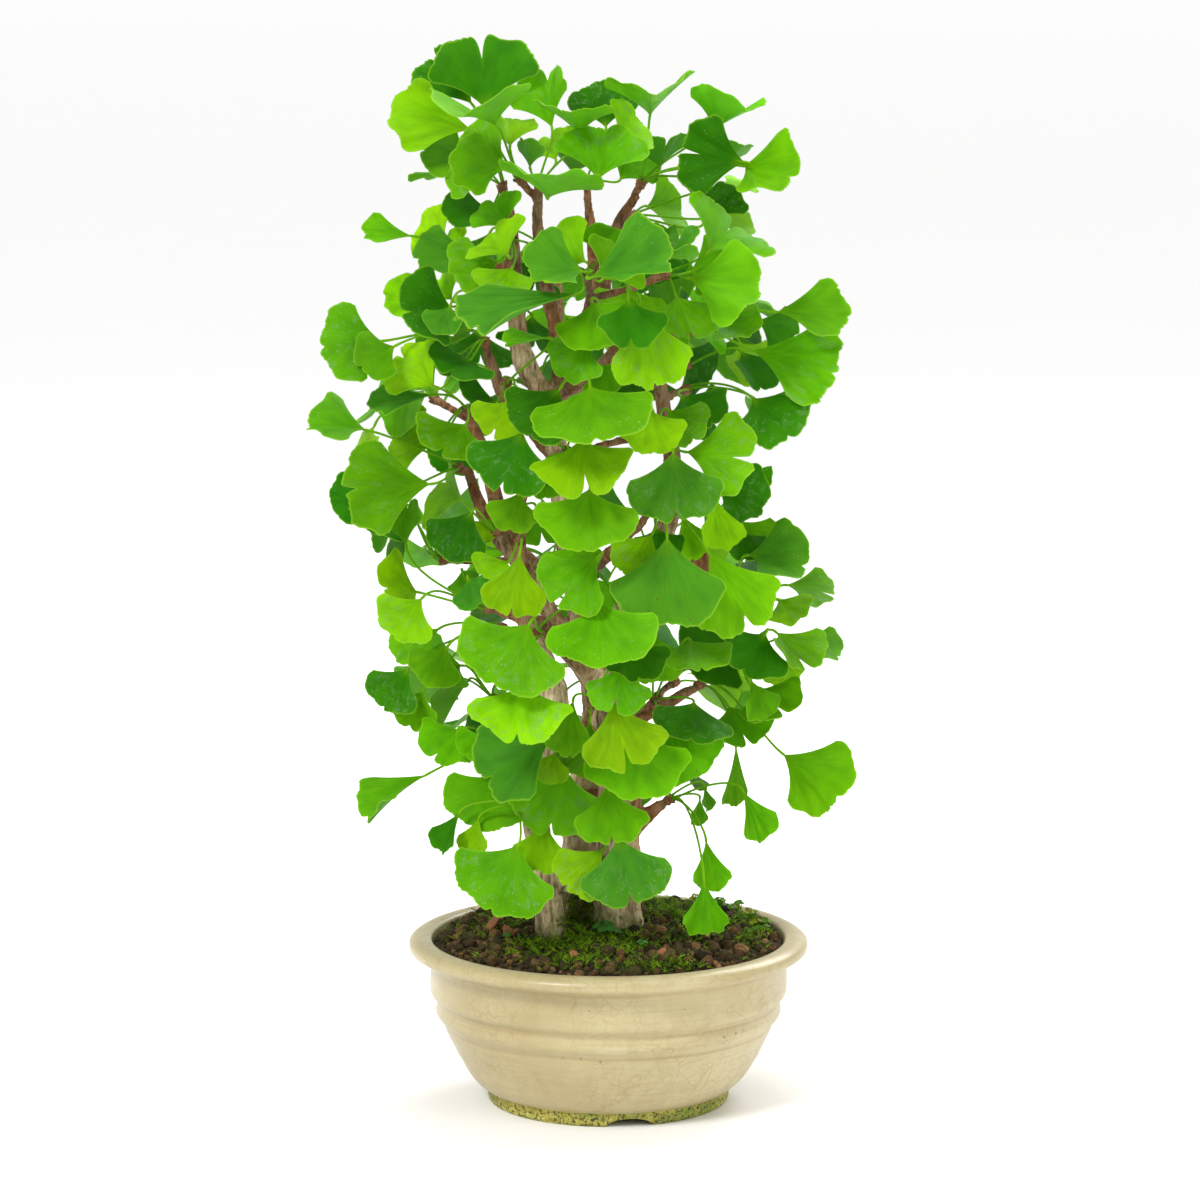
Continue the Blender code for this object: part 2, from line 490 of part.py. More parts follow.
def prism(name, low_ring, high_ring, collection):
    count = len(low_ring)
    faces = [tuple(range(count)), tuple(range(count, 2 * count))]
    for i in range(count):
        j = (i + 1) % count
        faces.append((i, j, count + j, count + i))
    return object_from(name, low_ring + high_ring, faces, collection)


def build_soil(parts, cutters):
    """Body of soil that fills the pot, with a hole for the root stock."""
    gap = SEAT_GAP / MM
    floor = POT_FLOOR_TOP + gap
    profile = [(0.0, SOIL_TOP[-1][1]), (0.0, floor), (POT_INSIDE[1][0] - gap, floor)]
    profile += [(radius - gap, height) for radius, height in POT_INSIDE[2:]]
    profile += list(SOIL_TOP[:-1])
    soil = turned("soil", profile, POT_STEPS, parts)
    soil.location = POT_AXIS
    hole = prism(
        "root_hole_cutter",
        stock_outline(gap, STOCK_BOTTOM - gap),
        stock_outline(gap, STOCK_TOP + HOLE_CUT_ABOVE),
        cutters)
    cut(soil, hole)
    soil.data.materials.append(make_material("dark_soil", (0.07, 0.04, 0.02), 0.95))
    return soil


def tapered_tube(name, points, radii, resolution, collection):
    """Closed mesh of a tube along a path, from a bevelled curve with a radius at each point."""
    curve = bpy.data.curves.new(name, "CURVE")
    curve.dimensions = "3D"
    curve.bevel_depth = 1.0
    curve.bevel_resolution = resolution
    curve.use_fill_caps = True
    curve.twist_mode = "MINIMUM"
    spline = curve.splines.new("POLY")
    spline.points.add(len(points) - 1)
    for slot, point, radius in zip(spline.points, points, radii):
        slot.co = (*point, 1.0)
        slot.radius = radius * MM
    source = bpy.data.objects.new(name, curve)
    collection.objects.link(source)
    graph = bpy.context.evaluated_depsgraph_get()
    mesh = bpy.data.meshes.new_from_object(source.evaluated_get(graph))
    bpy.data.objects.remove(source)
    work = bmesh.new()
    work.from_mesh(mesh)
    bmesh.ops.remove_doubles(work, verts=work.verts, dist=0.00001)
    bmesh.ops.recalc_face_normals(work, faces=work.faces)
    work.to_mesh(mesh)
    work.free()
    mesh.materials.clear()
    tube = bpy.data.objects.new(name, mesh)
    collection.objects.link(tube)
    return tube


def drop_scraps(work):
    """Leave only the largest of a mesh's separate shells."""
    waiting = set(work.verts)
    shells = []
    while waiting:
        shell = [waiting.pop()]
        for vertex in shell:
            for edge in vertex.link_edges:
                other = edge.other_vert(vertex)
                if other in waiting:
                    waiting.remove(other)
                    shell.append(other)
        shells.append(shell)
    shells.sort(key=len)
    loose = [vertex for shell in shells[:-1] for vertex in shell]
    bmesh.ops.delete(work, geom=loose, context="VERTS")


def fuse(name, pieces, target_collection):
    """One closed mesh from several crossing ones; the pieces and their collection go."""
    first = pieces[0]
    others = make_collection("fusing " + name)
    for piece in pieces[1:]:
        for owner in list(piece.users_collection):
            owner.objects.unlink(piece)
        others.objects.link(piece)
    union = first.modifiers.new("fuse", "BOOLEAN")
    union.operation = "UNION"
    union.operand_type = "COLLECTION"
    union.collection = others
    union.solver = "MANIFOLD"
    graph = bpy.context.evaluated_depsgraph_get()
    mesh = bpy.data.meshes.new_from_object(first.evaluated_get(graph))
    for piece in list(others.objects) + [first]:
        bpy.data.objects.remove(piece)
    bpy.data.collections.remove(others)
    work = bmesh.new()
    work.from_mesh(mesh)
    drop_scraps(work)
    work.to_mesh(mesh)
    work.free()
    mesh.name = name
    fused = bpy.data.objects.new(name, mesh)
    target_collection.objects.link(fused)
    return fused


def limb_paths():
    """Each limb as world points and radii in millimetres."""
    paths = {}
    for name, knots in LIMBS.items():
        points = [at_pixel(across, down, depth) for across, down, depth, _ in knots]
        paths[name] = (points, [radius for _, _, _, radius in knots])
    return paths


def limb_samples(paths):
    """Points close together on every limb's middle line, with the radius there."""
    samples = []
    for points, radii in paths.values():
        for i in range(len(points) - 1):
            for step in range(6):
                t = step / 6
                place = points[i].lerp(points[i + 1], t)
                samples.append((place, radii[i] * (1 - t) + radii[i + 1] * t))
        samples.append((points[-1], radii[-1]))
    return samples


def spur_start(tip, samples):
    """Point on the middle line of the limb that a spur grows on."""
    def cost(sample):
        away = tip - sample[0]
        return away.length + max(0.0, -away.z) * 1.5 + (0.02 if away.length < 0.012 else 0.0)
    return min(samples, key=cost)[0]


def cone(name, start, end, radii, sides, collection):
    """Tapered prism between two points, with the radius in mm at each."""
    way = end - start
    mesh = bpy.data.meshes.new(name)
    work = bmesh.new()
    bmesh.ops.create_cone(
        work, cap_ends=True, segments=sides,
        radius1=radii[0] * MM, radius2=radii[1] * MM, depth=way.length)
    stand = way.to_track_quat("Z", "Y").to_matrix().to_4x4()
    stand.translation = (start + end) / 2
    work.transform(stand)
    work.to_mesh(mesh)
    work.free()
    obj = bpy.data.objects.new(name, mesh)
    collection.objects.link(obj)
    return obj


def build_wood(parts, tips):
    """Root stock, trunks, limbs, twigs and spurs grown as one; also each spur's way out."""
    paths = limb_paths()
    samples = limb_samples(paths)
    pieces = [prism(
        "stock", stock_outline(0.0, STOCK_BOTTOM), stock_outline(0.0, STOCK_TOP), parts)]
    for name, (points, radii) in paths.items():
        resolution = 2 * (max(radii) >= EIGHT_SIDES_FROM) or 1 * (max(radii) >= SIX_SIDES_FROM)
        pieces.append(tapered_tube(name, points, radii, resolution, parts))
    ways = []
    for index, tip in enumerate(tips):
        start = spur_start(tip, samples)
        radii = (TWIG_RADIUS, SPUR_RADIUS)
        pieces.append(cone(f"spur_{index}", start, tip, radii, SPUR_SIDES, parts))
        ways.append((tip - start).normalized())
    trunk = fuse("trunk", pieces, parts)
    trunk.data.materials.append(make_material("bark", (0.21, 0.13, 0.08), 0.85))
    return trunk, ways


# The leaf's form, shared by its coarse blade here and any finer one
LONG_STALK = (0.0, 0.45, 1.0)
SHORT_STALK = (0.0, 1.0)
MIDDLE_ROW = 0.52
MIDDLE_SIDES = (-1.0, 0.0, 1.0)
RIM_WIDE = (-1.0, -0.72, -0.42, -0.14, 0.0, 0.14, 0.42, 0.72, 1.0)
RIM_MEDIUM = (-1.0, -0.5, -0.13, 0.0, 0.13, 0.5, 1.0)
RIM_TINY = (-1.0, -0.5, 0.0, 0.5, 1.0)
TINY_LEAF = 33.0
WIDE_LEAF = 54.0
LARGE_LEAF = 53.0
LENGTH_FROM_WIDTH = 0.72
CORNER_PULLED_IN = 0.13
WIDER = 1.12


class Form:
    """Shape of one leaf: its frame in space, its size and how it folds and waves."""

    def __init__(self, foot, along, face, length, width, fold, draw, plain=False):
        self.foot = foot
        self.along = along.normalized()
        self.face = (face - face.dot(self.along) * self.along).normalized()
        self.across = self.along.cross(self.face)
        self.length = length
        self.width = width
        self.plain = plain
        corner_radius = length * (1.0 - CORNER_PULLED_IN)
        self.spread = math.asin(min(0.97, WIDER * width / 2 / corner_radius))
        self.fold = math.radians(fold)
        self.notch = draw.choice((0.03, 0.08, 0.17, 0.32)) if width > TINY_LEAF * MM else 0.05
        self.wave = draw.uniform(0.035, 0.075) * length
        self.turns = draw.uniform(3.5, 6.0)
        self.phase = draw.uniform(0.0, math.tau)
        self.droop = draw.uniform(0.02, 0.16) * length

    def point(self, side, reach):
        """Point of the blade: side -1 to 1 across the fan, reach 0 at the stalk to 1 at the rim."""
        angle = side * self.spread * (0.62 + 0.38 * reach)
        rim = 1.0 - CORNER_PULLED_IN * abs(side) ** 3 + 0.03 * math.sin(self.turns * 2.1 * side + self.phase)
        rim *= 1.0 - self.notch * math.exp(-(side / 0.075) ** 2)
        radius = self.length * rim * reach
        half = radius * math.sin(angle)
        turn = self.fold * math.tanh(3.0 * abs(side))
        lift = abs(half) * math.sin(turn)
        lift += self.wave * reach * reach * math.sin(self.turns * side + self.phase)
        lift -= self.droop * reach * reach
        ahead = radius * math.cos(angle)
        return (self.foot + self.across * half * math.cos(turn)
                + self.along * ahead + self.face * lift)

    def normal(self, side, reach):
        step = 0.02
        low, high = max(-1.0, side - step), min(1.0, side + step)
        over = self.point(high, reach) - self.point(low, reach)
        out = self.point(side, min(1.0, reach + step)) - self.point(side, reach - step)
        return over.cross(out).normalized()


def bezier(knots, t):
    first, second, third, fourth = knots
    u = 1.0 - t
    return first * u ** 3 + second * 3 * u * u * t + third * 3 * u * t * t + fourth * t ** 3


def stalk_knots(root, way, form, bend):
    """Control points of the stalk, out of the spur's tip and into the blade's foot."""
    reach = (form.foot - root).length
    return (
        root,
        root + way * reach * 0.28 + bend,
        form.foot - form.along * reach * 0.26 + bend * 0.4,
        form.foot,
    )


def stalk_solid(form, knots, radius, clear_root):
    """Points and triangles of a three-sided stalk, open at the blade's end."""
    length = (knots[3] - knots[0]).length
    rings = LONG_STALK if length > STRAIGHT_STALK_UNDER * MM else SHORT_STALK
    centres = [bezier(knots, clear_root + (1.0 - clear_root) * ring) for ring in rings]
    side, up, ahead = form.across, form.face, form.along
    vertices = []
    for i in reversed(range(len(centres))):
        before, after = centres[max(i - 1, 0)], centres[min(i + 1, len(centres) - 1)]
        turn = ahead.rotation_difference(after - before)
        side, up, ahead = turn @ side, turn @ up, after - before
        corners = [
            centres[i] + (side * sideways + up * upward) * radius
            for sideways, upward in ((-0.9, 0.5), (0.9, 0.5), (0.0, -0.9))
        ]
        vertices = corners + vertices
    faces = [(0, 1, 2)]
    for a in range(0, len(vertices) - 3, 3):
        for i in range(3):
            j = (i + 1) % 3
            faces += [(a + i, a + 3 + i, a + 3 + j), (a + i, a + 3 + j, a + j)]
    return vertices, faces


def rim_sides(form):
    if form.width < TINY_LEAF * MM:
        return RIM_TINY
    return RIM_WIDE if form.width > WIDE_LEAF * MM and not form.plain else RIM_MEDIUM


def leaf_solid(form, knots, thickness, stalk_radius, clear_root):
    """Points, stalk triangles and blade triangles of one closed leaf."""
    vertices, stalk = stalk_solid(form, knots, stalk_radius, clear_root)
    foot = tuple(range(len(vertices) - 3, len(vertices)))
    sides = rim_sides(form)
    large = form.width > LARGE_LEAF * MM and not form.plain
    rows = {}
    for label, row_sides, reach in (("middle", MIDDLE_SIDES, MIDDLE_ROW), ("rim", sides, 1.0)):
        if label == "middle" and not large:
            continue
        for face_name, face_sign in (("top", 0.5), ("low", -0.5)):
            rows[label, face_name] = len(vertices)
            for side in row_sides:
                offset = form.normal(side, reach) * thickness * face_sign
                vertices.append(form.point(side, reach) + offset)
    nearest = "middle" if large else "rim"
    count = len(MIDDLE_SIDES) if large else len(sides)
    blade = foot_faces(foot, rows[nearest, "top"], rows[nearest, "low"], count)
    if large:
        blade += blade_faces(rows, len(sides))
    blade += rim_faces(rows["rim", "top"], rows["rim", "low"], len(sides))
    return vertices, stalk, blade


def foot_faces(foot, top, low, count):
    """Triangles from the three corners of the stalk's end to a row across the blade."""
    left, right, under = foot
    middle = count // 2
    faces = [(left, top + middle, right)]
    for i in range(count - 1):
        corner = left if i < middle else right
        faces.append((corner, top + i, top + i + 1))
        faces.append((under, low + i + 1, low + i))
    last = count - 1
    faces += [(left, under, top), (under, low, top)]
    faces += [(right, top + last, under), (under, top + last, low + last)]
    return faces


def rim_faces(top, low, count):
    faces = []
    for i in range(count - 1):
        faces += [(top + i, low + i, top + i + 1), (top + i + 1, low + i, low + i + 1)]
    return faces


def blade_faces(rows, rim_count):
    """Triangles between the blade's middle row and its rim, alike on both sides."""
    faces = []
    half = rim_count // 2
    switch = half // 2
    for face_name, flip in (("top", False), ("low", True)):
        middle, rim = rows["middle", face_name], rows["rim", face_name]
        triangles = []
        for i in range(switch):
            triangles.append((middle, rim + i, rim + i + 1))
            mirror = rim + rim_count - 1 - i
            triangles.append((middle + 2, mirror - 1, mirror))
        triangles.append((middle, rim + switch, middle + 1))
        triangles.append((middle + 1, rim + rim_count - 1 - switch, middle + 2))
        for i in range(switch, rim_count - 1 - switch):
            triangles.append((middle + 1, rim + i, rim + i + 1))
        faces += [t[::-1] if flip else t for t in triangles]
    top, low = rows["rim", "top"], rows["rim", "low"]
    for middle_at, rim_at in ((0, 0), (2, rim_count - 1)):
        a, b = rows["middle", "top"] + middle_at, rows["middle", "low"] + middle_at
        c, d = top + rim_at, low + rim_at
        faces += [(a, b, c), (b, d, c)]
    return faces


class Room:
    """What already stands, to test that a new leaf is clear of it."""

    def __init__(self):
        self.taken = []

    def add(self, vertices, faces, owner, kind):
        used = [vertices[i] for face in faces for i in face]
        low = Vector([min(v[k] for v in used) for k in range(3)])
        high = Vector([max(v[k] for v in used) for k in range(3)])
        self.taken.append((BVHTree.FromPolygons(vertices, faces), low, high, owner, kind))

    def is_clear(self, vertices, faces, skip):
        """Whether the faces cross nothing, apart from what skip(owner, kind) says to pass over."""
        used = [vertices[i] for face in faces for i in face]
        low = Vector([min(v[k] for v in used) for k in range(3)])
        high = Vector([max(v[k] for v in used) for k in range(3)])
        tree = BVHTree.FromPolygons(vertices, faces)
        for other, other_low, other_high, owner, kind in self.taken:
            if any(low[k] > other_high[k] or high[k] < other_low[k] for k in range(3)):
                continue
            if not skip(owner, kind) and tree.overlap(other):
                return False
        return True


def leaf_fits(room, form, knots, owner):
    """Whether a leaf, thickened for clearance, is clear of all that stands."""
    off_root = min(0.5, 7.0 * MM / max(1.0 * MM, (form.foot - knots[0]).length))
    wide, stalk, blade = leaf_solid(
        form, knots, TEST_THICKNESS * MM, TEST_STALK_RADIUS * MM, off_root)
    if not room.is_clear(wide, blade, lambda _owner, _kind: False):
        return False
    if not room.is_clear(wide, stalk, lambda other, kind: other == owner and kind != "blade"):
        return False
    bare, stalk, _ = leaf_solid(form, knots, BLADE_THICKNESS * MM, STALK_RADIUS * MM, 0.0)
    return room.is_clear(bare, stalk, lambda other, kind: other == owner and kind != "blade")


def take_room(room, form, knots, owner):
    vertices, stalk, blade = leaf_solid(form, knots, BLADE_THICKNESS * MM, STALK_RADIUS * MM, 0.0)
    room.add(vertices, stalk, owner, "stalk")
    room.add(vertices, blade, owner, "blade")


# Shifts along the line of sight, bends of the stalk and rolls that a leaf tries, in turn
DEPTH_SHIFTS = (0, -6, 6, -12, 12, -18, 18, -25, 25, -33, 33, -42, 42)
STALK_BENDS = ((0, 0, 0), (0, 0, 9), (0, -9, 0), (9, 0, 0), (-9, 0, 0), (0, 9, 0), (0, 0, -9))
ROLL_CHANGES = ((1.0, 0), (1.0, 18), (0.92, -18), (0.85, 35))
LEAN_LIMIT = math.radians(56)
FACE_UP_SHARE = 0.35
LEANS_BACK_BEHIND = 10.0
CROWN_MIDDLE = 600.0
# A leaf that climbs at least this share of its length leans back, or shows its lower face
RISES_FROM = 0.35
LOWER_FACE_TONES = "bu"
RISING_LEAN_LIMIT = math.radians(64)


def form_of_row(row, shift, shrink, more_roll, number):
    """Form of a leaf that the table gives, moved along the line of sight."""
    depth = row.depth + shift
    foot = at_pixel(row.foot_x, row.foot_y, depth)
    shown = at_pixel(row.rim_x, row.rim_y, depth) - foot
    length = max(row.width * MM * LENGTH_FROM_WIDTH, shown.length / 0.97)
    sight = (foot - VIEW_POINT - POT_AXIS).normalized()
    rises = shown.z > RISES_FROM * shown.length
    lean = min(RISING_LEAN_LIMIT if rises else LEAN_LIMIT, math.acos(shown.length / length))
    shows_underside = rises and row.tone in LOWER_FACE_TONES
    backwards = row.depth > LEANS_BACK_BEHIND or rises
    depthwards = sight if backwards and not shows_underside else -sight
    along = shown.normalized() * math.cos(lean) + depthwards * math.sin(lean)
    length = shown.length / math.cos(lean) * shrink
    face = Vector((0.0, 0.0, FACE_UP_SHARE)) - sight * (-0.2 if shows_underside else 1.0)
    face -= face.dot(along) * along
    turn = (row.roll + more_roll) * (1.0 if (row.foot_x > CROWN_MIDDLE) == rises else -1.0)
    face.rotate(Matrix.Rotation(math.radians(turn), 3, along))
    draw = random.Random(LEAF_SEED * 1000 + number)
    return Form(foot, along, face, length, row.width * MM * shrink, row.fold, draw)


def place_row(room, row, root, way, owner, number):
    """First way that a leaf of the table stands clear, or None."""
    for shrink, more_roll in ROLL_CHANGES:
        for shift in DEPTH_SHIFTS:
            form = form_of_row(row, shift, shrink, more_roll, number)
            for bend in STALK_BENDS:
                knots = stalk_knots(root, way, form, Vector(bend) * MM)
                if leaf_fits(room, form, knots, owner):
                    return form, knots
    return None


def inside_outline(point):
    across, down = to_pixel(point)
    rows = CROWN_OUTLINE
    if not rows[0][0] <= down <= rows[-1][0]:
        return False
    for (upper, left_a, right_a), (lower, left_b, right_b) in zip(rows, rows[1:]):
        if upper <= down <= lower:
            t = (down - upper) / (lower - upper)
            return left_a + (left_b - left_a) * t < across < right_a + (right_b - right_a) * t
    return False


def outward(tip, heading):
    """Level way out of the tree at a spur, turned by a heading in degrees."""
    way = Vector((tip.x - POT_AXIS.x + 0.005, tip.y - POT_AXIS.y, 0.0)).normalized()
    way.rotate(Matrix.Rotation(math.radians(heading), 3, "Z"))
    return way


def free_form(tip, heading, draw, number):
    """Form of a leaf on the hidden side: out from the tree and hanging by its own weight."""
    level = outward(tip, heading + draw.uniform(-18, 18))
    climb = math.radians(draw.uniform(-25, 50))
    out = level * math.cos(climb) + Vector((0.0, 0.0, math.sin(climb)))
    foot = tip + out * draw.uniform(22, 52) * MM
    fall = math.radians(draw.uniform(-75, 10))
    along = level * math.cos(fall) + Vector((0.0, 0.0, math.sin(fall)))
    face = Vector((0.0, 0.0, 0.6)) + level
    face -= face.dot(along) * along
    face.rotate(Matrix.Rotation(math.radians(draw.uniform(-40, 40)), 3, along))
    width = draw.uniform(40, 58) * MM
    length = width * draw.uniform(0.62, 0.74)
    return Form(foot, along, face, length, width, draw.uniform(5, 28), random.Random(number), True)


def place_free(room, tip, root, way, owner, heading, draw, number):
    """First drawn place where a hidden leaf stands clear and inside the crown's outline."""
    for _ in range(BACK_TRIES):
        form = free_form(tip, heading, draw, number)
        corners = [form.point(side, 1.0) for side in (-1.0, 0.0, 1.0)]
        if not all(inside_outline(corner) for corner in corners):
            continue
        knots = stalk_knots(root, way, form, Vector((0.0, 0.0, draw.uniform(0, 8) * MM)))
        if leaf_fits(room, form, knots, owner):
            return form, knots
    return None


def whorl_roots(tip, way, feet):
    """Where a whorl's stalks start inside its collar: round a ring, in the leaves' own order."""
    middle = tip + way * (SEAT_GAP + COLLAR_HEIGHT * 0.5 * MM)
    side = way.orthogonal().normalized()
    over = way.cross(side)
    turns = [math.atan2((foot - tip).dot(over), (foot - tip).dot(side)) for foot in feet]
    step = math.tau / len(feet)
    order = sorted(range(len(feet)), key=turns.__getitem__)
    late = [turns[leaf] - place * step for place, leaf in enumerate(order)]
    shift = math.atan2(sum(map(math.sin, late)), sum(map(math.cos, late)))
    roots = [middle] * len(feet)
    for place, leaf in enumerate(order):
        turn = shift + place * step
        out = side * math.cos(turn) + over * math.sin(turn)
        roots[leaf] = middle + out * WHORL_RADIUS * MM
    return roots


def grow_leaves(room, tips, ways):
    """Where every leaf stands: for each whorl, its leaves with their tones."""
    whorls = []
    number = 0
    for owner, tuft in enumerate(FRONT_TUFTS):
        leaves = []
        feet = [at_pixel(row.foot_x, row.foot_y, row.depth) for row in tuft.leaves]
        roots = whorl_roots(tips[owner], ways[owner], feet)
        for row, root in zip(tuft.leaves, roots):
            number += 1
            found = place_row(room, row, root, ways[owner], owner, number)
            if found:
                take_room(room, *found, owner)
                leaves.append((*found, TONES[row.tone]))
            else:
                print("no room for leaf", number, "of whorl", owner + 1)
        whorls.append(leaves)
    draw = random.Random(LEAF_SEED)
    for owner in range(len(FRONT_TUFTS), len(tips)):
        tip, way = tips[owner], ways[owner]
        leaves = []
        headings = [SWEEP * ((k + 0.5) / BACK_LEAVES_EACH * 2 - 1) for k in range(BACK_LEAVES_EACH)]
        feet = [tip + outward(tip, heading) for heading in headings]
        for heading, root in zip(headings, whorl_roots(tip, way, feet)):
            number += 1
            found = place_free(room, tip, root, way, owner, heading, draw, number)
            if found:
                take_room(room, *found, owner)
                leaves.append((*found, TONES[draw.choice("ggdy")]))
            else:
                print("no room for leaf", number, "of whorl", owner + 1)
        whorls.append(leaves)
    return whorls


def build_leaves(parts, trunk, tips, ways):
    """A node for each whorl: its collar with its leaves grown to it."""
    room = Room()
    wood = [vertex.co.copy() for vertex in trunk.data.vertices]
    room.add(wood, [tuple(face.vertices) for face in trunk.data.polygons], -1, "wood")
    collars = []
    for owner, (tip, way) in enumerate(zip(tips, ways)):
        low = tip + way * SEAT_GAP
        collar = cone(
            f"collar_{owner}", low, low + way * COLLAR_HEIGHT * MM, COLLAR_RADII, COLLAR_SIDES, parts)
        points = [vertex.co.copy() for vertex in collar.data.vertices]
        room.add(points, [tuple(face.vertices) for face in collar.data.polygons], owner, "collar")
        collars.append(collar)
    whorls = grow_leaves(room, tips, ways)
    for owner, leaves in enumerate(whorls):
        name = f"leaf_tuft_{owner + 1:02d}"
        pieces = [collars[owner]]
        for index, (form, knots, _) in enumerate(leaves):
            vertices, stalk, blade = leaf_solid(
                form, knots, BLADE_THICKNESS * MM, STALK_RADIUS * MM, 0.0)
            pieces.append(object_from(f"{name}_leaf_{index}", vertices, stalk + blade, parts))
        tuft = fuse(name, pieces, parts)
        tones = [tone for _, _, tone in leaves] or [TONES["g"]]
        colour = [sum(tone[k] for tone in tones) / len(tones) for k in range(3)]
        tuft.data.materials.append(make_material(f"leaf_green_{owner + 1:02d}", colour, 0.5))
    return whorls


def main():
    clear_scene()
    parts = make_collection("ginkgo_bonsai")
    cutters = make_collection("cutters")
    build_pot(parts, cutters)
    build_soil(parts, cutters)
    tips = [at_pixel(tuft.tip_x, tuft.tip_y, tuft.depth) for tuft in FRONT_TUFTS]
    tips += [at_pixel(*tip) for tip in BACK_TIPS]
    trunk, ways = build_wood(parts, tips)
    build_leaves(parts, trunk, tips, ways)
    for cutter in cutters.objects:
        cutter.hide_render = True
        cutter.display_type = "WIRE"


main()
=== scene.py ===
"""Ginkgo bonsai: fine leaves, bark, soil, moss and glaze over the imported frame.

Metres, +Z up, front towards -Y. The pot stands on z = 0.
"""
import math
import random
from collections import namedtuple

import bmesh
import bpy
import numpy as np
from mathutils import Matrix, Vector, noise
from mathutils.kdtree import KDTree


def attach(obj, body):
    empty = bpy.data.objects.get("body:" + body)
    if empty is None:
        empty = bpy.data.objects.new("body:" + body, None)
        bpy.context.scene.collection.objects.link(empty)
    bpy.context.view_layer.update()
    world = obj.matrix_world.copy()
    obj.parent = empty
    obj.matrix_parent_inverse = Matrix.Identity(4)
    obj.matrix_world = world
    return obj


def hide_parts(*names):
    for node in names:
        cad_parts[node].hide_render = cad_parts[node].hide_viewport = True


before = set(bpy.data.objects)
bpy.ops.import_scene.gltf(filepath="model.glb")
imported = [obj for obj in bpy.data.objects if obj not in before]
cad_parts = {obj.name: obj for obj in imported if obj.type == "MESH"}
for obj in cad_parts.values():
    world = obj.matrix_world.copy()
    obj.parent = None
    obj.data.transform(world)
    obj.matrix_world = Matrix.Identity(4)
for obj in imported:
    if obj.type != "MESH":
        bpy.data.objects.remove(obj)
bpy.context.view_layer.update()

MM = 0.001
UP = Vector((0.0, 0.0, 1.0))
SEAT_GAP = 0.3 * MM
LEAF_SEED = 2796
POT_AXIS = Vector((0.0156, -0.0073, 0.0))

# The view that the places below were read in: pixels across and down a square picture
VIEW_POINT = Vector((-0.005, -2.7, 0.718))
VIEW_DOWN = math.radians(8.73)
VIEW_FOCAL = 4592.0
VIEW_MIDDLE = 600.0

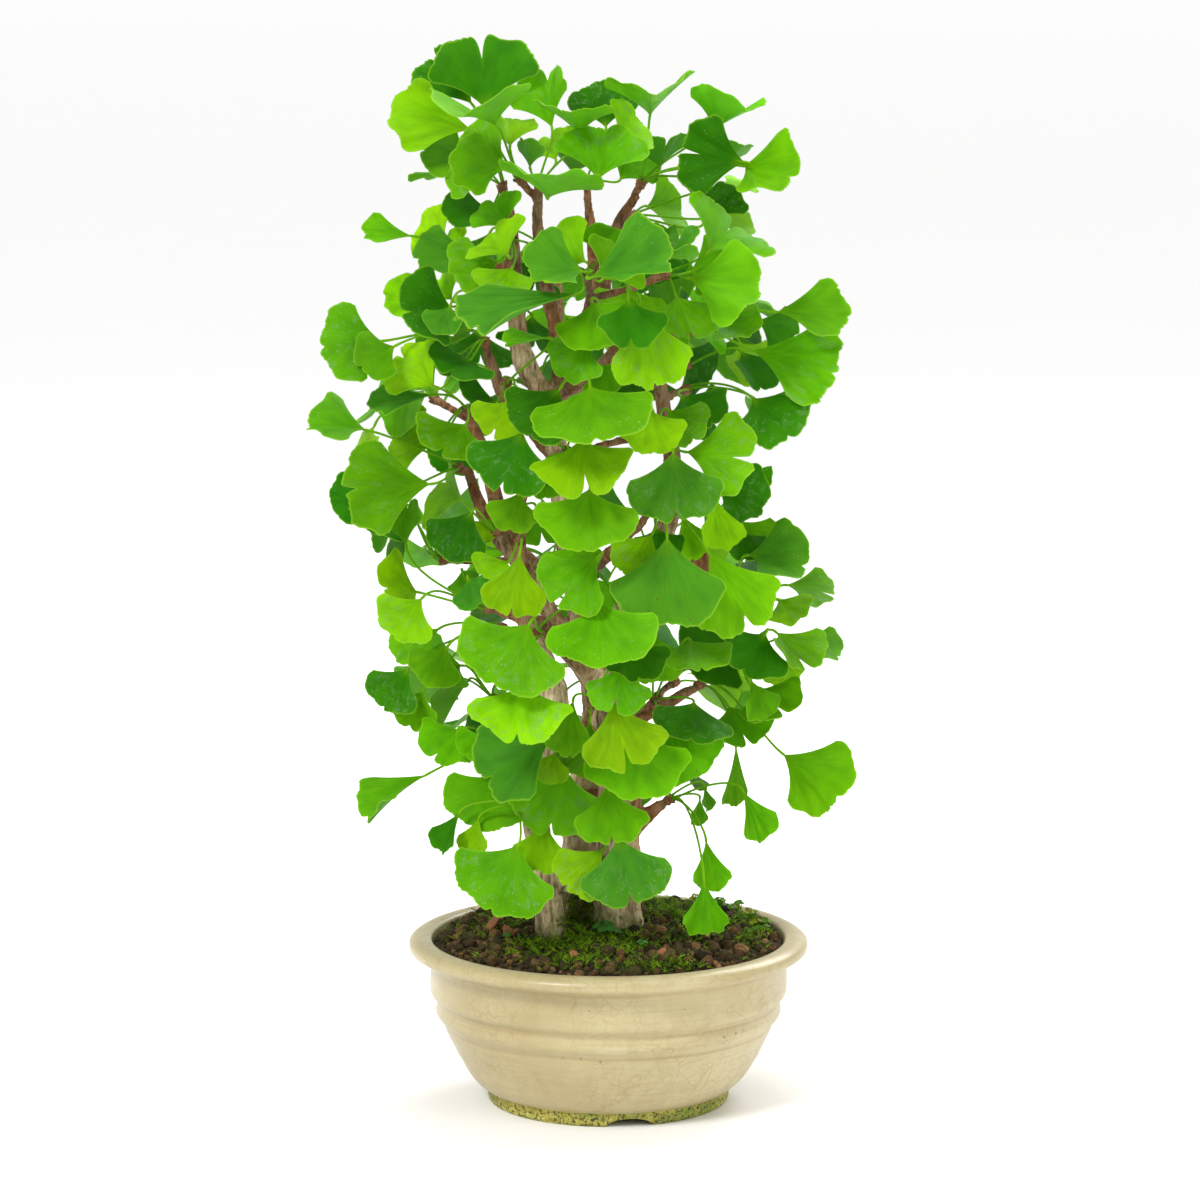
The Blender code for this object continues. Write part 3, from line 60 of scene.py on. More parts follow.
# Limbs: pixels across and down, depth behind the pot's axis and radius in millimetres
LIMBS = {
    "left_trunk": (
        (553, 948, -32, 10), (549, 905, -32, 8.5), (541, 850, -32, 7.8), (532, 795, -31, 7.6),
        (543, 752, -28, 7.8), (556, 712, -24, 7.5), (547, 672, -20, 8.5), (534, 640, -14, 6.5),
        (523, 605, -10, 5), (521, 560, -6, 3.6), (522, 500, -3, 3.2), (530, 450, 0, 3),
    ),
    "right_trunk": (
        (617, 950, -14, 17), (617, 900, -14, 14.5), (619, 850, -13, 13.2), (620, 800, -12, 12.4),
        (613, 745, -11, 11.5), (608, 695, -9, 10.5), (613, 655, -8, 9), (628, 605, -6, 7.8),
        (650, 560, -4, 7), (670, 515, -2, 6.2), (672, 455, -2, 5.2), (662, 400, -5, 4.4),
        (655, 344, -9, 3.2),
    ),
    "back_trunk": (
        (583, 938, -3, 12.5), (581, 880, 6, 12.3), (582, 820, 11, 11.8), (590, 760, 12, 11),
        (598, 705, 12, 10), (592, 650, 10, 9), (577, 590, 6, 8.5), (566, 520, 2, 7.8),
        (558, 455, 0, 7.2), (545, 400, 0, 6.8), (523, 358, 0, 6.6), (516, 310, 2, 5.8),
        (513, 255, 2, 5), (507, 202, 2, 3.8),
    ),
    "cross_limb": (
        (600, 695, 8, 7), (578, 662, 2, 6), (560, 645, -4, 5.6), (545, 626, -8, 5),
        (520, 617, -10, 4.2), (500, 611, -10, 3.4),
    ),
    "left_limb": (
        (574, 650, 6, 6), (542, 600, 4, 6), (516, 556, 3, 6.2), (500, 515, 5, 5.4),
        (486, 462, 6, 4.6), (471, 421, 4, 3.6),
    ),
    "left_limb_twin": (
        (518, 562, 4, 5), (494, 532, 11, 4.8), (478, 500, 17, 4.2), (468, 470, 22, 3.2),
    ),
    "second_leader": (
        (554, 440, 2, 6), (560, 380, 5, 5.4), (556, 330, 3, 5), (545, 280, 1, 4.4),
        (538, 230, -2, 3.8), (538, 200, -5, 3),
    ),
    "third_leader": (
        (558, 400, 5, 5), (580, 345, 14, 4.6), (593, 290, 14, 4), (592, 240, 9, 3.5),
        (587, 196, 3, 2.8),
    ),
    "fourth_leader": (
        (570, 372, 9, 4.6), (600, 312, 22, 4.2), (608, 262, 18, 3.8), (618, 224, 9, 3.4),
        (637, 195, 1, 2.8),
    ),
    "right_limb": (
        (644, 572, -5, 6), (672, 566, 12, 5), (702, 562, 22, 4.4), (728, 582, 22, 4),
        (742, 612, 13, 3.2),
    ),
    "left_upper_limb": (
        (548, 412, 0, 5), (520, 405, -3, 4.4), (503, 393, -6, 4.4), (494, 370, -10, 3.8),
        (487, 352, -12, 3),
    ),
    "low_stub": ((624, 836, -14, 6), (646, 816, -18, 5), (662, 804, -20, 3.8)),
    "right_twig": ((618, 738, -9, 5), (645, 716, -7, 4.2), (672, 701, -3, 3.8), (690, 689, 3, 3)),
    "front_low_limb": ((612, 750, -14, 5), (597, 738, -36, 4.2), (585, 724, -50, 3.2)),
    "front_middle_limb": ((612, 660, -10, 5), (594, 640, -36, 4), (578, 622, -54, 3.2)),
    "front_centre_limb": ((576, 580, 4, 5.5), (600, 562, -30, 4.4), (626, 538, -56, 3.2)),
    "front_upper_limb": ((557, 460, -2, 5), (568, 458, -30, 4.2), (574, 455, -50, 3.2)),
    "front_top_limb": ((546, 402, -2, 5), (568, 388, -20, 4.4), (588, 374, -38, 3.4)),
    "front_crown_limb": ((578, 350, 12, 4.2), (587, 322, -18, 3.8), (591, 298, -42, 3)),
    "back_low_limb": ((588, 765, 15, 5.5), (575, 738, 45, 4.4), (562, 712, 72, 3.2)),
    "back_low_right_limb": ((598, 740, 14, 5.5), (636, 722, 44, 4.4), (660, 694, 68, 3.2)),
    "back_left_limb": ((577, 592, 9, 5.5), (545, 572, 45, 4.4), (516, 545, 72, 3.2)),
    "back_right_limb": ((630, 602, -4, 5.5), (650, 582, 34, 4.4), (678, 556, 68, 3.2)),
    "back_upper_left_limb": ((557, 460, 2, 5), (535, 434, 38, 4.2), (504, 404, 68, 3.2)),
    "back_upper_limb": ((560, 392, 8, 5), (585, 382, 44, 4.2), (616, 354, 72, 3.2)),
    "back_top_limb": ((556, 334, 6, 4.2), (558, 304, 34, 3.6), (556, 272, 58, 3)),
}

# A leaf: where its stalk meets the blade and the middle of its far edge, in pixels; depth of the
# stalk's end, and width, in millimetres; roll about its length and fold of its halves, in degrees
fields = "foot_x foot_y rim_x rim_y depth width roll fold tone"
# Fold and tone of the leaves that are given none
Leaf = namedtuple("Leaf", fields, defaults=(15, "g"))

# Whorls that the photo shows: the spur's tip in pixels, its depth in millimetres, and its leaves
FRONT_TUFTS = (
    # Top, left of the leaders
    (522, 182, -10, (
        (486, 110, 480, 34, -4, 64, 0, 22, "d"), (496, 125, 460, 104, -40, 66, 10, 32, "u"),
        (507, 170, 452, 146, -34, 54, 10, 20), (506, 168, 452, 162, -44, 42, 15),
        (510, 146, 512, 116, -20, 34, 10, 20, "y"),
    )),
    (503, 190, 8, (
        (472, 104, 430, 52, 6, 44, 10, 15, "d"), (472, 130, 394, 110, 0, 48, 15, 15, "y"),
        (474, 164, 422, 148, 4, 44, 30), (455, 174, 411, 173, 14, 26, 75, 5),
        (489, 209, 446, 214, 10, 38, 30, 20, "d"),
    )),
    (539, 190, -10, (
        (552, 128, 542, 68, -8, 46, 40, 25), (580, 135, 560, 102, -30, 54, 15, 34, "u"),
        (548, 198, 550, 168, -52, 72, 10, 22, "u"), (556, 160, 548, 134, 4, 34, 20, 25, "y"),
        (530, 168, 525, 137, 2, 24, 40, 20, "b"),
    )),
    (587, 186, 0, (
        (606, 128, 600, 82, -4, 40, 10, 12, "d"), (598, 180, 606, 124, -26, 52, 5, 14),
        (575, 176, 560, 144, 12, 34, 30, 20, "b"), (620, 180, 642, 146, 6, 36, 20),
    )),
    (640, 186, -2, (
        (650, 115, 657, 84, -6, 58, 10, 34, "u"), (618, 140, 640, 112, 8, 36, 30, 15, "y"),
        (712, 131, 748, 100, 4, 54, 5, 36, "u"), (660, 168, 668, 134, 14, 36, 20, 25, "b"),
        (745, 162, 680, 152, -18, 48, 35, 15, "d"), (744, 166, 790, 172, -8, 50, 15, 25),
        (720, 172, 738, 140, 18, 36, 20, 15, "b"),
    )),
    (632, 216, 18, (
        (704, 222, 716, 178, 6, 42, 25, 25, "d"), (706, 218, 750, 206, 18, 42, 15, 10, "y"),
        (646, 206, 688, 214, 12, 42, 20), (722, 186, 756, 182, 26, 30, 50, 10, "y"),
        (652, 250, 654, 292, 32, 44, 20, 15, "d"),
    )),
    # Upper right
    (662, 276, -30, (
        (708, 252, 740, 216, -40, 62, 10, 30), (688, 278, 758, 286, -62, 52, 10, 10),
        (690, 272, 728, 258, -34, 42, 20), (640, 262, 668, 222, -44, 40, 10, 10, "b"),
        (668, 258, 690, 240, -60, 36, 50, 20, "b"), (676, 296, 694, 336, -24, 44, 20),
    )),
    (658, 321, -10, (
        (776, 312, 846, 312, -18, 44, 20, 25), (757, 320, 796, 334, 2, 30, 5, 10, "b"),
        (752, 350, 836, 374, -24, 54, 10, 20), (672, 318, 692, 306, 8, 30, 40, 20, "d"),
        (720, 325, 752, 330, -8, 36, 30),
    )),
    (684, 366, 16, (
        (686, 348, 710, 384, 20, 44, 15, 10, "d"), (740, 351, 766, 386, 10, 40, 45, 20, "d"),
        (690, 330, 722, 316, 30, 40, 20), (648, 366, 640, 404, 34, 44, 15, 15, "d"),
    )),
    (683, 391, 6, (
        (752, 398, 790, 436, -34, 52, 10, 20, "d"), (680, 396, 712, 420, 0, 42, 20, 15, "d"),
        (756, 400, 774, 424, -8, 36, 50), (690, 400, 722, 424, 16, 36, 20, 15, "d"),
    )),
    (644, 436, -46, (
        (673, 451, 676, 520, -92, 54, 0, 10, "b"), (686, 452, 754, 458, -74, 50, 5, 10),
        (648, 408, 655, 450, -84, 38, 10, 10, "y"), (668, 410, 694, 436, -62, 36, 10),
    )),
    (706, 540, 14, (
        (716, 486, 764, 506, -20, 42, 15, 20, "d"), (714, 496, 722, 548, -50, 32, 30, 20, "y"),
        (741, 521, 760, 548, 6, 32, 20, 20), (736, 530, 745, 556, -18, 32, 20, 15, "d"),
        (740, 490, 768, 486, 10, 34, 30),
    )),
    # Right
    (744, 602, 10, (
        (748, 555, 806, 560, -30, 50, 25, 30, "b"), (786, 585, 834, 592, 10, 38, 40),
        (778, 600, 800, 614, -10, 30, 15, 10, "y"), (748, 560, 775, 574, -10, 38, 40, 15, "d"),
    )),
    (741, 640, 4, (
        (766, 633, 744, 670, -50, 42, 15, 15, "d"), (776, 632, 808, 668, -34, 46, 40, 30),
        (800, 636, 838, 656, -8, 38, 45), (778, 656, 786, 686, -6, 26, 20, 15, "y"),
        (755, 690, 784, 710, -14, 42, 15), (751, 680, 764, 718, -34, 28, 35, 20),
    )),
    (697, 686, 6, (
        (783, 754, 840, 796, -20, 54, 10), (728, 706, 748, 742, 0, 42, 15),
        (736, 745, 735, 803, -14, 24, 55), (736, 640, 692, 660, -20, 50, 10, 10, "d"),
        (742, 690, 748, 712, 12, 26, 20),
    )),
    (667, 801, -22, (
        (743, 791, 763, 838, -30, 30, 35, 25), (706, 840, 710, 889, -40, 28, 35, 20),
        (704, 880, 706, 932, -50, 27, 10), (700, 798, 697, 824, -20, 16, 50),
        (704, 786, 709, 810, -10, 16, 60),
    )),
    # Centre, from the bottom up
    (655, 700, -33, (
        (668, 726, 702, 772, -60, 48, 10, 10), (694, 702, 692, 736, -40, 46, 15, 10, "d"),
        (652, 632, 650, 680, -56, 42, 10), (690, 640, 702, 668, -44, 42, 10, 10),
    )),
    (592, 706, -58, (
        (612, 700, 630, 766, -96, 48, 5, 10, "y"), (634, 728, 640, 792, -76, 58, 5, 10),
        (573, 700, 568, 754, -86, 36, 35, 25), (590, 720, 588, 776, -74, 34, 25),
        (620, 664, 616, 712, -72, 38, 15),
    )),
    (575, 752, -54, (
        (565, 766, 548, 832, -84, 58, 5, 12), (607, 784, 612, 842, -82, 42, 5, 12),
        (553, 735, 484, 776, -92, 52, 5, 10, "b"), (556, 752, 546, 782, -66, 26, 20, 15, "y"),
    )),
    (594, 820, -46, (
        (604, 849, 566, 886, -70, 36, 10, 15, "y"), (618, 836, 632, 902, -86, 52, 0, 12, "b"),
        (545, 820, 538, 870, -64, 34, 15, 15, "y"),
    )),
    (520, 800, -52, (
        (519, 844, 490, 908, -76, 60, 0, 12), (500, 774, 474, 820, -62, 52, 5, 12),
        (460, 812, 440, 850, -50, 26, 45, 20, "d"), (479, 818, 470, 852, -44, 22, 30, 15, "y"),
    )),
    (548, 632, -62, (
        (525, 684, 516, 734, -104, 56, 5, 12, "y"), (530, 623, 494, 682, -106, 62, 0, 8),
        (598, 602, 608, 660, -104, 62, 0, 12),
    )),
    (592, 580, -64, (
        (598, 556, 556, 604, -86, 46, 10, 10), (575, 546, 570, 568, -72, 34, 15),
        (628, 640, 640, 676, -86, 40, 15, 15, "d"),
    )),
    (520, 540, -34, (
        (520, 554, 511, 614, -92, 38, 0, 12, "y"), (520, 492, 508, 530, -70, 32, 15),
        (508, 562, 484, 572, -44, 32, 20, 15, "y"),
    )),
    (648, 512, -60, (
        (667, 536, 668, 624, -108, 64, 0, 10, "b"), (652, 534, 628, 574, -88, 36, 10, 15, "y"),
        (656, 528, 662, 556, -74, 30, 15, 15, "d"), (708, 552, 752, 624, -84, 52, 5, 10),
        (682, 514, 694, 558, -82, 30, 35, 20, "y"),
    )),
    (568, 452, -62, (
        (590, 488, 583, 544, -102, 56, 5, 12), (580, 440, 586, 486, -108, 55, 5, 12, "y"),
        (545, 462, 545, 497, -72, 30, 15), (523, 431, 500, 490, -92, 50, 0, 12, "d"),
    )),
    (586, 368, -52, (
        (590, 386, 596, 440, -112, 68, 5, 12), (590, 342, 562, 374, -80, 36, 10),
        (560, 388, 528, 436, -88, 46, 5, 15, "d"), (594, 364, 614, 392, -76, 28, 15),
    )),
    (612, 352, -40, (
        (640, 302, 656, 384, -98, 46, 5, 10, "y"), (592, 302, 606, 344, -88, 48, 10),
        (628, 298, 634, 346, -72, 40, 20, 15, "d"), (648, 340, 668, 366, -56, 36, 15),
        (626, 284, 628, 324, -22, 42, 20, 15, "y"),
    )),
    (588, 276, -56, (
        (585, 272, 526, 264, -92, 50, 30, 25, "b"), (590, 278, 672, 256, -104, 60, -32, 30, "b"),
        (578, 294, 458, 316, -106, 62, 50, 15, "b"), (586, 262, 548, 242, -74, 42, 15, 15, "y"),
        (602, 280, 628, 250, -84, 40, 15), (600, 258, 612, 224, -66, 32, 15),
    )),
    # Left, from the top down
    (512, 240, -22, (
        (505, 228, 492, 198, -40, 34, 20), (508, 256, 492, 228, -52, 40, 20, 20, "y"),
        (498, 262, 452, 274, -40, 42, 15), (512, 268, 496, 292, -60, 36, 15, 15, "y"),
        (538, 258, 530, 300, 26, 42, 20, 15, "d"),
    )),
    (492, 264, 10, (
        (468, 250, 416, 256, -4, 42, 30, 15, "b"), (446, 243, 420, 218, 0, 34, 30, 20, "y"),
        (412, 236, 364, 232, 6, 26, 30), (462, 246, 456, 226, 12, 16, 40, 20, "y"),
        (474, 258, 464, 280, 16, 24, 20, 20, "b"),
    )),
    (496, 304, 8, (
        (455, 312, 406, 306, -30, 50, 10, 15, "d"), (428, 306, 386, 292, 0, 36, 25, 15, "y"),
        (452, 300, 436, 276, 4, 30, 30, 20, "y"), (450, 306, 440, 334, -40, 26, 20, 20, "b"),
        (478, 328, 482, 370, 24, 44, 20, 15, "d"), (532, 316, 536, 356, 30, 42, 20, 15, "d"),
    )),
    (486, 345, -14, (
        (382, 341, 322, 346, -22, 50, 5, 12), (395, 346, 360, 366, -34, 34, 10),
        (434, 388, 398, 352, -36, 40, 15, 15, "y"), (458, 354, 424, 352, -20, 38, 20, 15, "b"),
        (470, 360, 448, 372, -34, 40, 15, 15, "d"),
    )),
    (506, 384, -16, (
        (510, 400, 491, 436, -70, 34, 10, 15, "y"), (548, 338, 504, 340, -50, 26, 50),
        (496, 402, 470, 400, -32, 36, 20, 15, "d"), (536, 396, 542, 438, 22, 44, 20, 15, "d"),
    )),
    (468, 413, 2, (
        (433, 395, 370, 406, -20, 34, 45, 20, "b"), (433, 446, 392, 430, 8, 42, 25, 15, "y"),
        (428, 440, 420, 406, 22, 24, 50, 15, "b"), (466, 424, 440, 452, -32, 46, 5, 10),
        (432, 386, 412, 386, 0, 24, 30, 15, "y"),
    )),
    (460, 468, 10, (
        (366, 430, 310, 420, 0, 46, 40, 25), (431, 484, 346, 488, -24, 58, 0, 12),
        (372, 500, 330, 500, 10, 36, 15, 15, "d"),
    )),
    (500, 531, -16, (
        (462, 500, 440, 478, -34, 58, 50, 25, "y"), (473, 510, 448, 558, -30, 40, 5, 15, "d"),
        (490, 520, 478, 538, -2, 26, 20, 15, "y"), (536, 506, 544, 548, 16, 42, 20),
    )),
    (490, 609, -14, (
        (406, 545, 405, 500, -16, 34, 40, 20), (417, 592, 384, 586, -22, 44, 5, 12, "y"),
        (422, 598, 392, 634, -38, 38, 5, 12, "y"), (468, 578, 478, 602, -26, 28, 35, 20, "b"),
        (462, 570, 470, 590, 6, 24, 30),
    )),
    (504, 628, 8, (
        (440, 628, 396, 658, 6, 38, 30), (409, 668, 382, 706, -6, 36, 10, 15, "d"),
        (448, 646, 424, 682, -16, 36, 15), (424, 690, 408, 726, 0, 32, 15),
    )),
    (506, 746, -2, (
        (463, 729, 432, 756, -16, 38, 10), (486, 734, 470, 714, -10, 36, 35, 15, "d"),
        (426, 775, 362, 810, -24, 48, 50, 30), (490, 736, 466, 754, -30, 30, 20),
    )),
)


# Tips of the spurs behind the tree: pixels and depth in millimetres
BACK_TIPS = (
    (560, 704, 84), (498, 700, 46), (672, 684, 80), (628, 776, 52), (548, 562, 84), (446, 560, 44),
    (660, 560, 80), (530, 416, 80), (436, 400, 40), (626, 366, 84), (706, 330, 48), (554, 262, 70),
    (628, 290, 56), (592, 628, 54),
)
BACK_LEAVES_EACH = 5
BACK_TRIES = 160
BACK_TONES = "ggdy"
# Half the sweep of a back whorl's leaves, in degrees
SWEEP = 95.0
# The crown's edge: pixels down, and across on its left and on its right
CROWN_OUTLINE = (
    (236, 450, 690), (300, 408, 762), (350, 395, 800), (400, 372, 780), (450, 350, 758),
    (500, 350, 752), (560, 405, 790), (620, 392, 815), (680, 385, 790), (720, 428, 745),
    (760, 456, 716), (800, 460, 690), (850, 520, 660),
)

# The leaves' own generator, in millimetres where it is a length
COLLAR_HEIGHT = 3.6
WHORL_RADIUS = 1.45
BLADE_THICKNESS = 0.75
TINY_LEAF = 33.0
NOTCHES, TINY_NOTCH = (0.03, 0.08, 0.17, 0.32), 0.05
LENGTH_FROM_WIDTH = 0.72
CORNER_PULLED_IN = 0.13
WIDER = 1.12
# What the generator tried in turn for each leaf: depth, bend of the stalk, and size and roll
DEPTH_SHIFTS = (0, -6, 6, -12, 12, -18, 18, -25, 25, -33, 33, -42, 42)
STALK_BENDS = ((0, 0, 0), (0, 0, 9), (0, -9, 0), (9, 0, 0), (-9, 0, 0), (0, 9, 0), (0, 0, -9))
ROLL_CHANGES = ((1.0, 0), (1.0, 18), (0.92, -18), (0.85, 35))
LEAN_LIMIT = math.radians(56)
FACE_UP_SHARE = 0.35
LEANS_BACK_BEHIND = 10.0
CROWN_MIDDLE = 600.0
RISES_FROM = 0.35
LOWER_FACE_TONES = "bu"
RISING_LEAN_LIMIT = math.radians(64)
# A long stalk took the bend that its middle still shows in the frame
LONG_STALK, STALK_MIDDLE = 32.0, 0.45
# How near a point of the frame has to be to count as the same, in millimetres
SAME_PLACE = 0.12
FAR_POINTS = (-1.0, 0.0, 1.0)
LIMB_STEPS = 6


def around(side, over, turn):
    """Direction at an angle on the circle through two others."""
    return side * math.cos(turn) + over * math.sin(turn)


def tree_of(points):
    tree = KDTree(len(points))
    for index, point in enumerate(points):
        tree.insert(point, index)
    tree.balance()
    return tree


def at_pixel(across, down, depth):
    """World point seen at a pixel of the reading view, at a depth in mm behind the pot's axis."""
    right = (across - VIEW_MIDDLE) / VIEW_FOCAL
    up = (VIEW_MIDDLE - down) / VIEW_FOCAL
    ray = Vector((
        right,
        math.cos(VIEW_DOWN) + up * math.sin(VIEW_DOWN),
        up * math.cos(VIEW_DOWN) - math.sin(VIEW_DOWN),
    ))
    reach = (depth * MM - VIEW_POINT.y) / ray.y
    return VIEW_POINT + ray * reach + POT_AXIS


def to_pixel(point):
    """Pixel of the reading view where a world point shows."""
    away = point - POT_AXIS - VIEW_POINT
    forward = away.y * math.cos(VIEW_DOWN) - away.z * math.sin(VIEW_DOWN)
    up = away.y * math.sin(VIEW_DOWN) + away.z * math.cos(VIEW_DOWN)
    return (
        VIEW_MIDDLE + VIEW_FOCAL * away.x / forward,
        VIEW_MIDDLE - VIEW_FOCAL * up / forward,
    )


class Form:
    """Shape of one leaf: its frame in space, its size and how it folds and waves."""

    def __init__(self, foot, along, face, length, width, fold, draw):
        self.foot = foot
        self.along = along.normalized()
        self.face = (face - face.dot(self.along) * self.along).normalized()
        self.across = self.along.cross(self.face)
        self.length = length
        self.width = width
        corner_radius = length * (1.0 - CORNER_PULLED_IN)
        self.spread = math.asin(min(0.97, WIDER * width / 2 / corner_radius))
        self.fold = math.radians(fold)
        self.notch = draw.choice(NOTCHES) if width > TINY_LEAF * MM else TINY_NOTCH
        self.wave = draw.uniform(0.035, 0.075) * length
        self.turns = draw.uniform(3.5, 6.0)
        self.phase = draw.uniform(0.0, math.tau)
        self.droop = draw.uniform(0.02, 0.16) * length

    def point(self, side, reach):
        """Point of the blade: side -1 to 1 across the fan, reach 0 at the stalk to 1 at the rim."""
        angle = side * self.spread * (0.62 + 0.38 * reach)
        ripple = math.sin(self.turns * 2.1 * side + self.phase)
        rim = 1.0 - CORNER_PULLED_IN * abs(side) ** 3 + 0.03 * ripple
        rim *= 1.0 - self.notch * math.exp(-(side / 0.075) ** 2)
        radius = self.length * rim * reach
        half = radius * math.sin(angle)
        turn = self.fold * math.tanh(3.0 * abs(side))
        lift = abs(half) * math.sin(turn)
        lift += self.wave * reach * reach * math.sin(self.turns * side + self.phase)
        lift -= self.droop * reach * reach
        ahead = radius * math.cos(angle)
        return (self.foot + self.across * half * math.cos(turn)
                + self.along * ahead + self.face * lift)

    def normal(self, side, reach):
        """Direction that the blade faces at a place, by points a step apart."""
        step = 0.02
        low, high = max(-1.0, side - step), min(1.0, side + step)
        over = self.point(high, reach) - self.point(low, reach)
        out = self.point(side, min(1.0, reach + step)) - self.point(side, reach - step)
        return over.cross(out).normalized()


def bezier(knots, t):
    """Point of a stalk's middle line, from 0 at the spur to 1 at the blade."""
    first, second, third, fourth = knots
    u = 1.0 - t
    return first * u ** 3 + second * 3 * u * u * t + third * 3 * u * t * t + fourth * t ** 3


def stalk_knots(root, way, form, bend):
    """Control points of the stalk, out of the spur's tip and into the blade's foot."""
    reach = (form.foot - root).length
    return (
        root,
        root + way * reach * 0.28 + bend,
        form.foot - form.along * reach * 0.26 + bend * 0.4,
        form.foot,
    )


def form_of_row(row, shift, shrink, more_roll, number):
    """Form of a leaf that the table gives, moved along the line of sight."""
    depth = row.depth + shift
    foot = at_pixel(row.foot_x, row.foot_y, depth)
    shown = at_pixel(row.rim_x, row.rim_y, depth) - foot
    length = max(row.width * MM * LENGTH_FROM_WIDTH, shown.length / 0.97)
    sight = (foot - VIEW_POINT - POT_AXIS).normalized()
    rises = shown.z > RISES_FROM * shown.length
    lean = min(RISING_LEAN_LIMIT if rises else LEAN_LIMIT, math.acos(shown.length / length))
    shows_underside = rises and row.tone in LOWER_FACE_TONES
    backwards = row.depth > LEANS_BACK_BEHIND or rises
    depthwards = sight if backwards and not shows_underside else -sight
    along = shown.normalized() * math.cos(lean) + depthwards * math.sin(lean)
    length = shown.length / math.cos(lean) * shrink
    face = UP * FACE_UP_SHARE - sight * (-0.2 if shows_underside else 1.0)
    face -= face.dot(along) * along
    turn = (row.roll + more_roll) * (1.0 if (row.foot_x > CROWN_MIDDLE) == rises else -1.0)
    face.rotate(Matrix.Rotation(math.radians(turn), 3, along))
    draw = random.Random(LEAF_SEED * 1000 + number)
    return Form(foot, along, face, length, row.width * MM * shrink, row.fold, draw)


def inside_outline(point):
    """Whether a point is hidden behind the crown in the reading view."""
    across, down = to_pixel(point)
    rows = CROWN_OUTLINE
    if not rows[0][0] <= down <= rows[-1][0]:
        return False
    for (upper, left_a, right_a), (lower, left_b, right_b) in zip(rows, rows[1:]):
        if upper <= down <= lower:
            t = (down - upper) / (lower - upper)
            return left_a + (left_b - left_a) * t < across < right_a + (right_b - right_a) * t
    return False


def outward(tip, heading):
    """Level way out of the tree at a spur, turned by a heading in degrees."""
    way = Vector((tip.x - POT_AXIS.x + 0.005, tip.y - POT_AXIS.y, 0.0)).normalized()
    way.rotate(Matrix.Rotation(math.radians(heading), 3, "Z"))
    return way


def free_form(tip, heading, draw, number):
    """Form of a leaf on the hidden side: out from the tree and hanging by its own weight."""
    level = outward(tip, heading + draw.uniform(-18, 18))
    climb = math.radians(draw.uniform(-25, 50))
    out = around(level, UP, climb)
    foot = tip + out * draw.uniform(22, 52) * MM
    fall = math.radians(draw.uniform(-75, 10))
    along = around(level, UP, fall)
    face = UP * 0.6 + level
    face -= face.dot(along) * along
    face.rotate(Matrix.Rotation(math.radians(draw.uniform(-40, 40)), 3, along))
    width = draw.uniform(40, 58) * MM
    length = width * draw.uniform(0.62, 0.74)
    return Form(foot, along, face, length, width, draw.uniform(5, 28), random.Random(number))


def whorl_roots(tip, way, feet):
    """Where a whorl's stalks start inside its collar: round a ring, in the leaves' own order."""
    middle = tip + way * (SEAT_GAP + COLLAR_HEIGHT * 0.5 * MM)
    side = way.orthogonal().normalized()
    over = way.cross(side)
    turns = [math.atan2((foot - tip).dot(over), (foot - tip).dot(side)) for foot in feet]
    step = math.tau / len(feet)
    order = sorted(range(len(feet)), key=turns.__getitem__)
    late = [turns[leaf] - place * step for place, leaf in enumerate(order)]
    shift = math.atan2(sum(map(math.sin, late)), sum(map(math.cos, late)))
    roots = [middle] * len(feet)
    for place, leaf in enumerate(order):
        roots[leaf] = middle + around(side, over, shift + place * step) * WHORL_RADIUS * MM
    return roots


def limb_paths():
    """Each limb as world points and radii in millimetres."""
    paths = {}
    for name, knots in LIMBS.items():
        points = [at_pixel(across, down, depth) for across, down, depth, _ in knots]
        paths[name] = (points, [radius for _, _, _, radius in knots])
    return paths


def limb_samples(paths):
    """Points close together on every limb's middle line."""
    samples = []
    for points, _ in paths.values():
        for i in range(len(points) - 1):
            for step in range(LIMB_STEPS):
                samples.append(points[i].lerp(points[i + 1], step / LIMB_STEPS))
        samples.append(points[-1])
    return samples


def spur_start(tip, samples):
    """Point on the middle line of the limb that a spur grows on."""
    def cost(place):
        away = tip - place
        return away.length + max(0.0, -away.z) * 1.5 + (0.02 if away.length < 0.012 else 0.0)
    return min(samples, key=cost)


def stands_there(tree, form):
    """Whether the frame's node has the three far points of this form's blade."""
    for side in FAR_POINTS:
        point = form.point(side, 1.0) + form.normal(side, 1.0) * BLADE_THICKNESS * MM * 0.5
        if tree.find(point)[2] > SAME_PLACE * MM:
            return False
    return True


def find_row(tree, row, root, way, number):
    """The form and stalk that a leaf of the table took in the frame, or None."""
    for shrink, more_roll in ROLL_CHANGES:
        for shift in DEPTH_SHIFTS:
            form = form_of_row(row, shift, shrink, more_roll, number)
            if stands_there(tree, form):
                stalks = [stalk_knots(root, way, form, Vector(bend) * MM) for bend in STALK_BENDS]
                if (form.foot - root).length > LONG_STALK * MM:
                    stalks.sort(key=lambda knots: tree.find(bezier(knots, STALK_MIDDLE))[2])
                return form, stalks[0]
    return None


def find_free(tree, tip, root, way, heading, draw, number):
    """The same for a leaf behind the tree: the same draws, until one stands in the frame."""
    for _ in range(BACK_TRIES):
        form = free_form(tip, heading, draw, number)
        if not all(inside_outline(form.point(side, 1.0)) for side in FAR_POINTS):
            continue
        knots = stalk_knots(root, way, form, Vector((0.0, 0.0, draw.uniform(0, 8) * MM)))
        if stands_there(tree, form):
            return form, knots
    return None


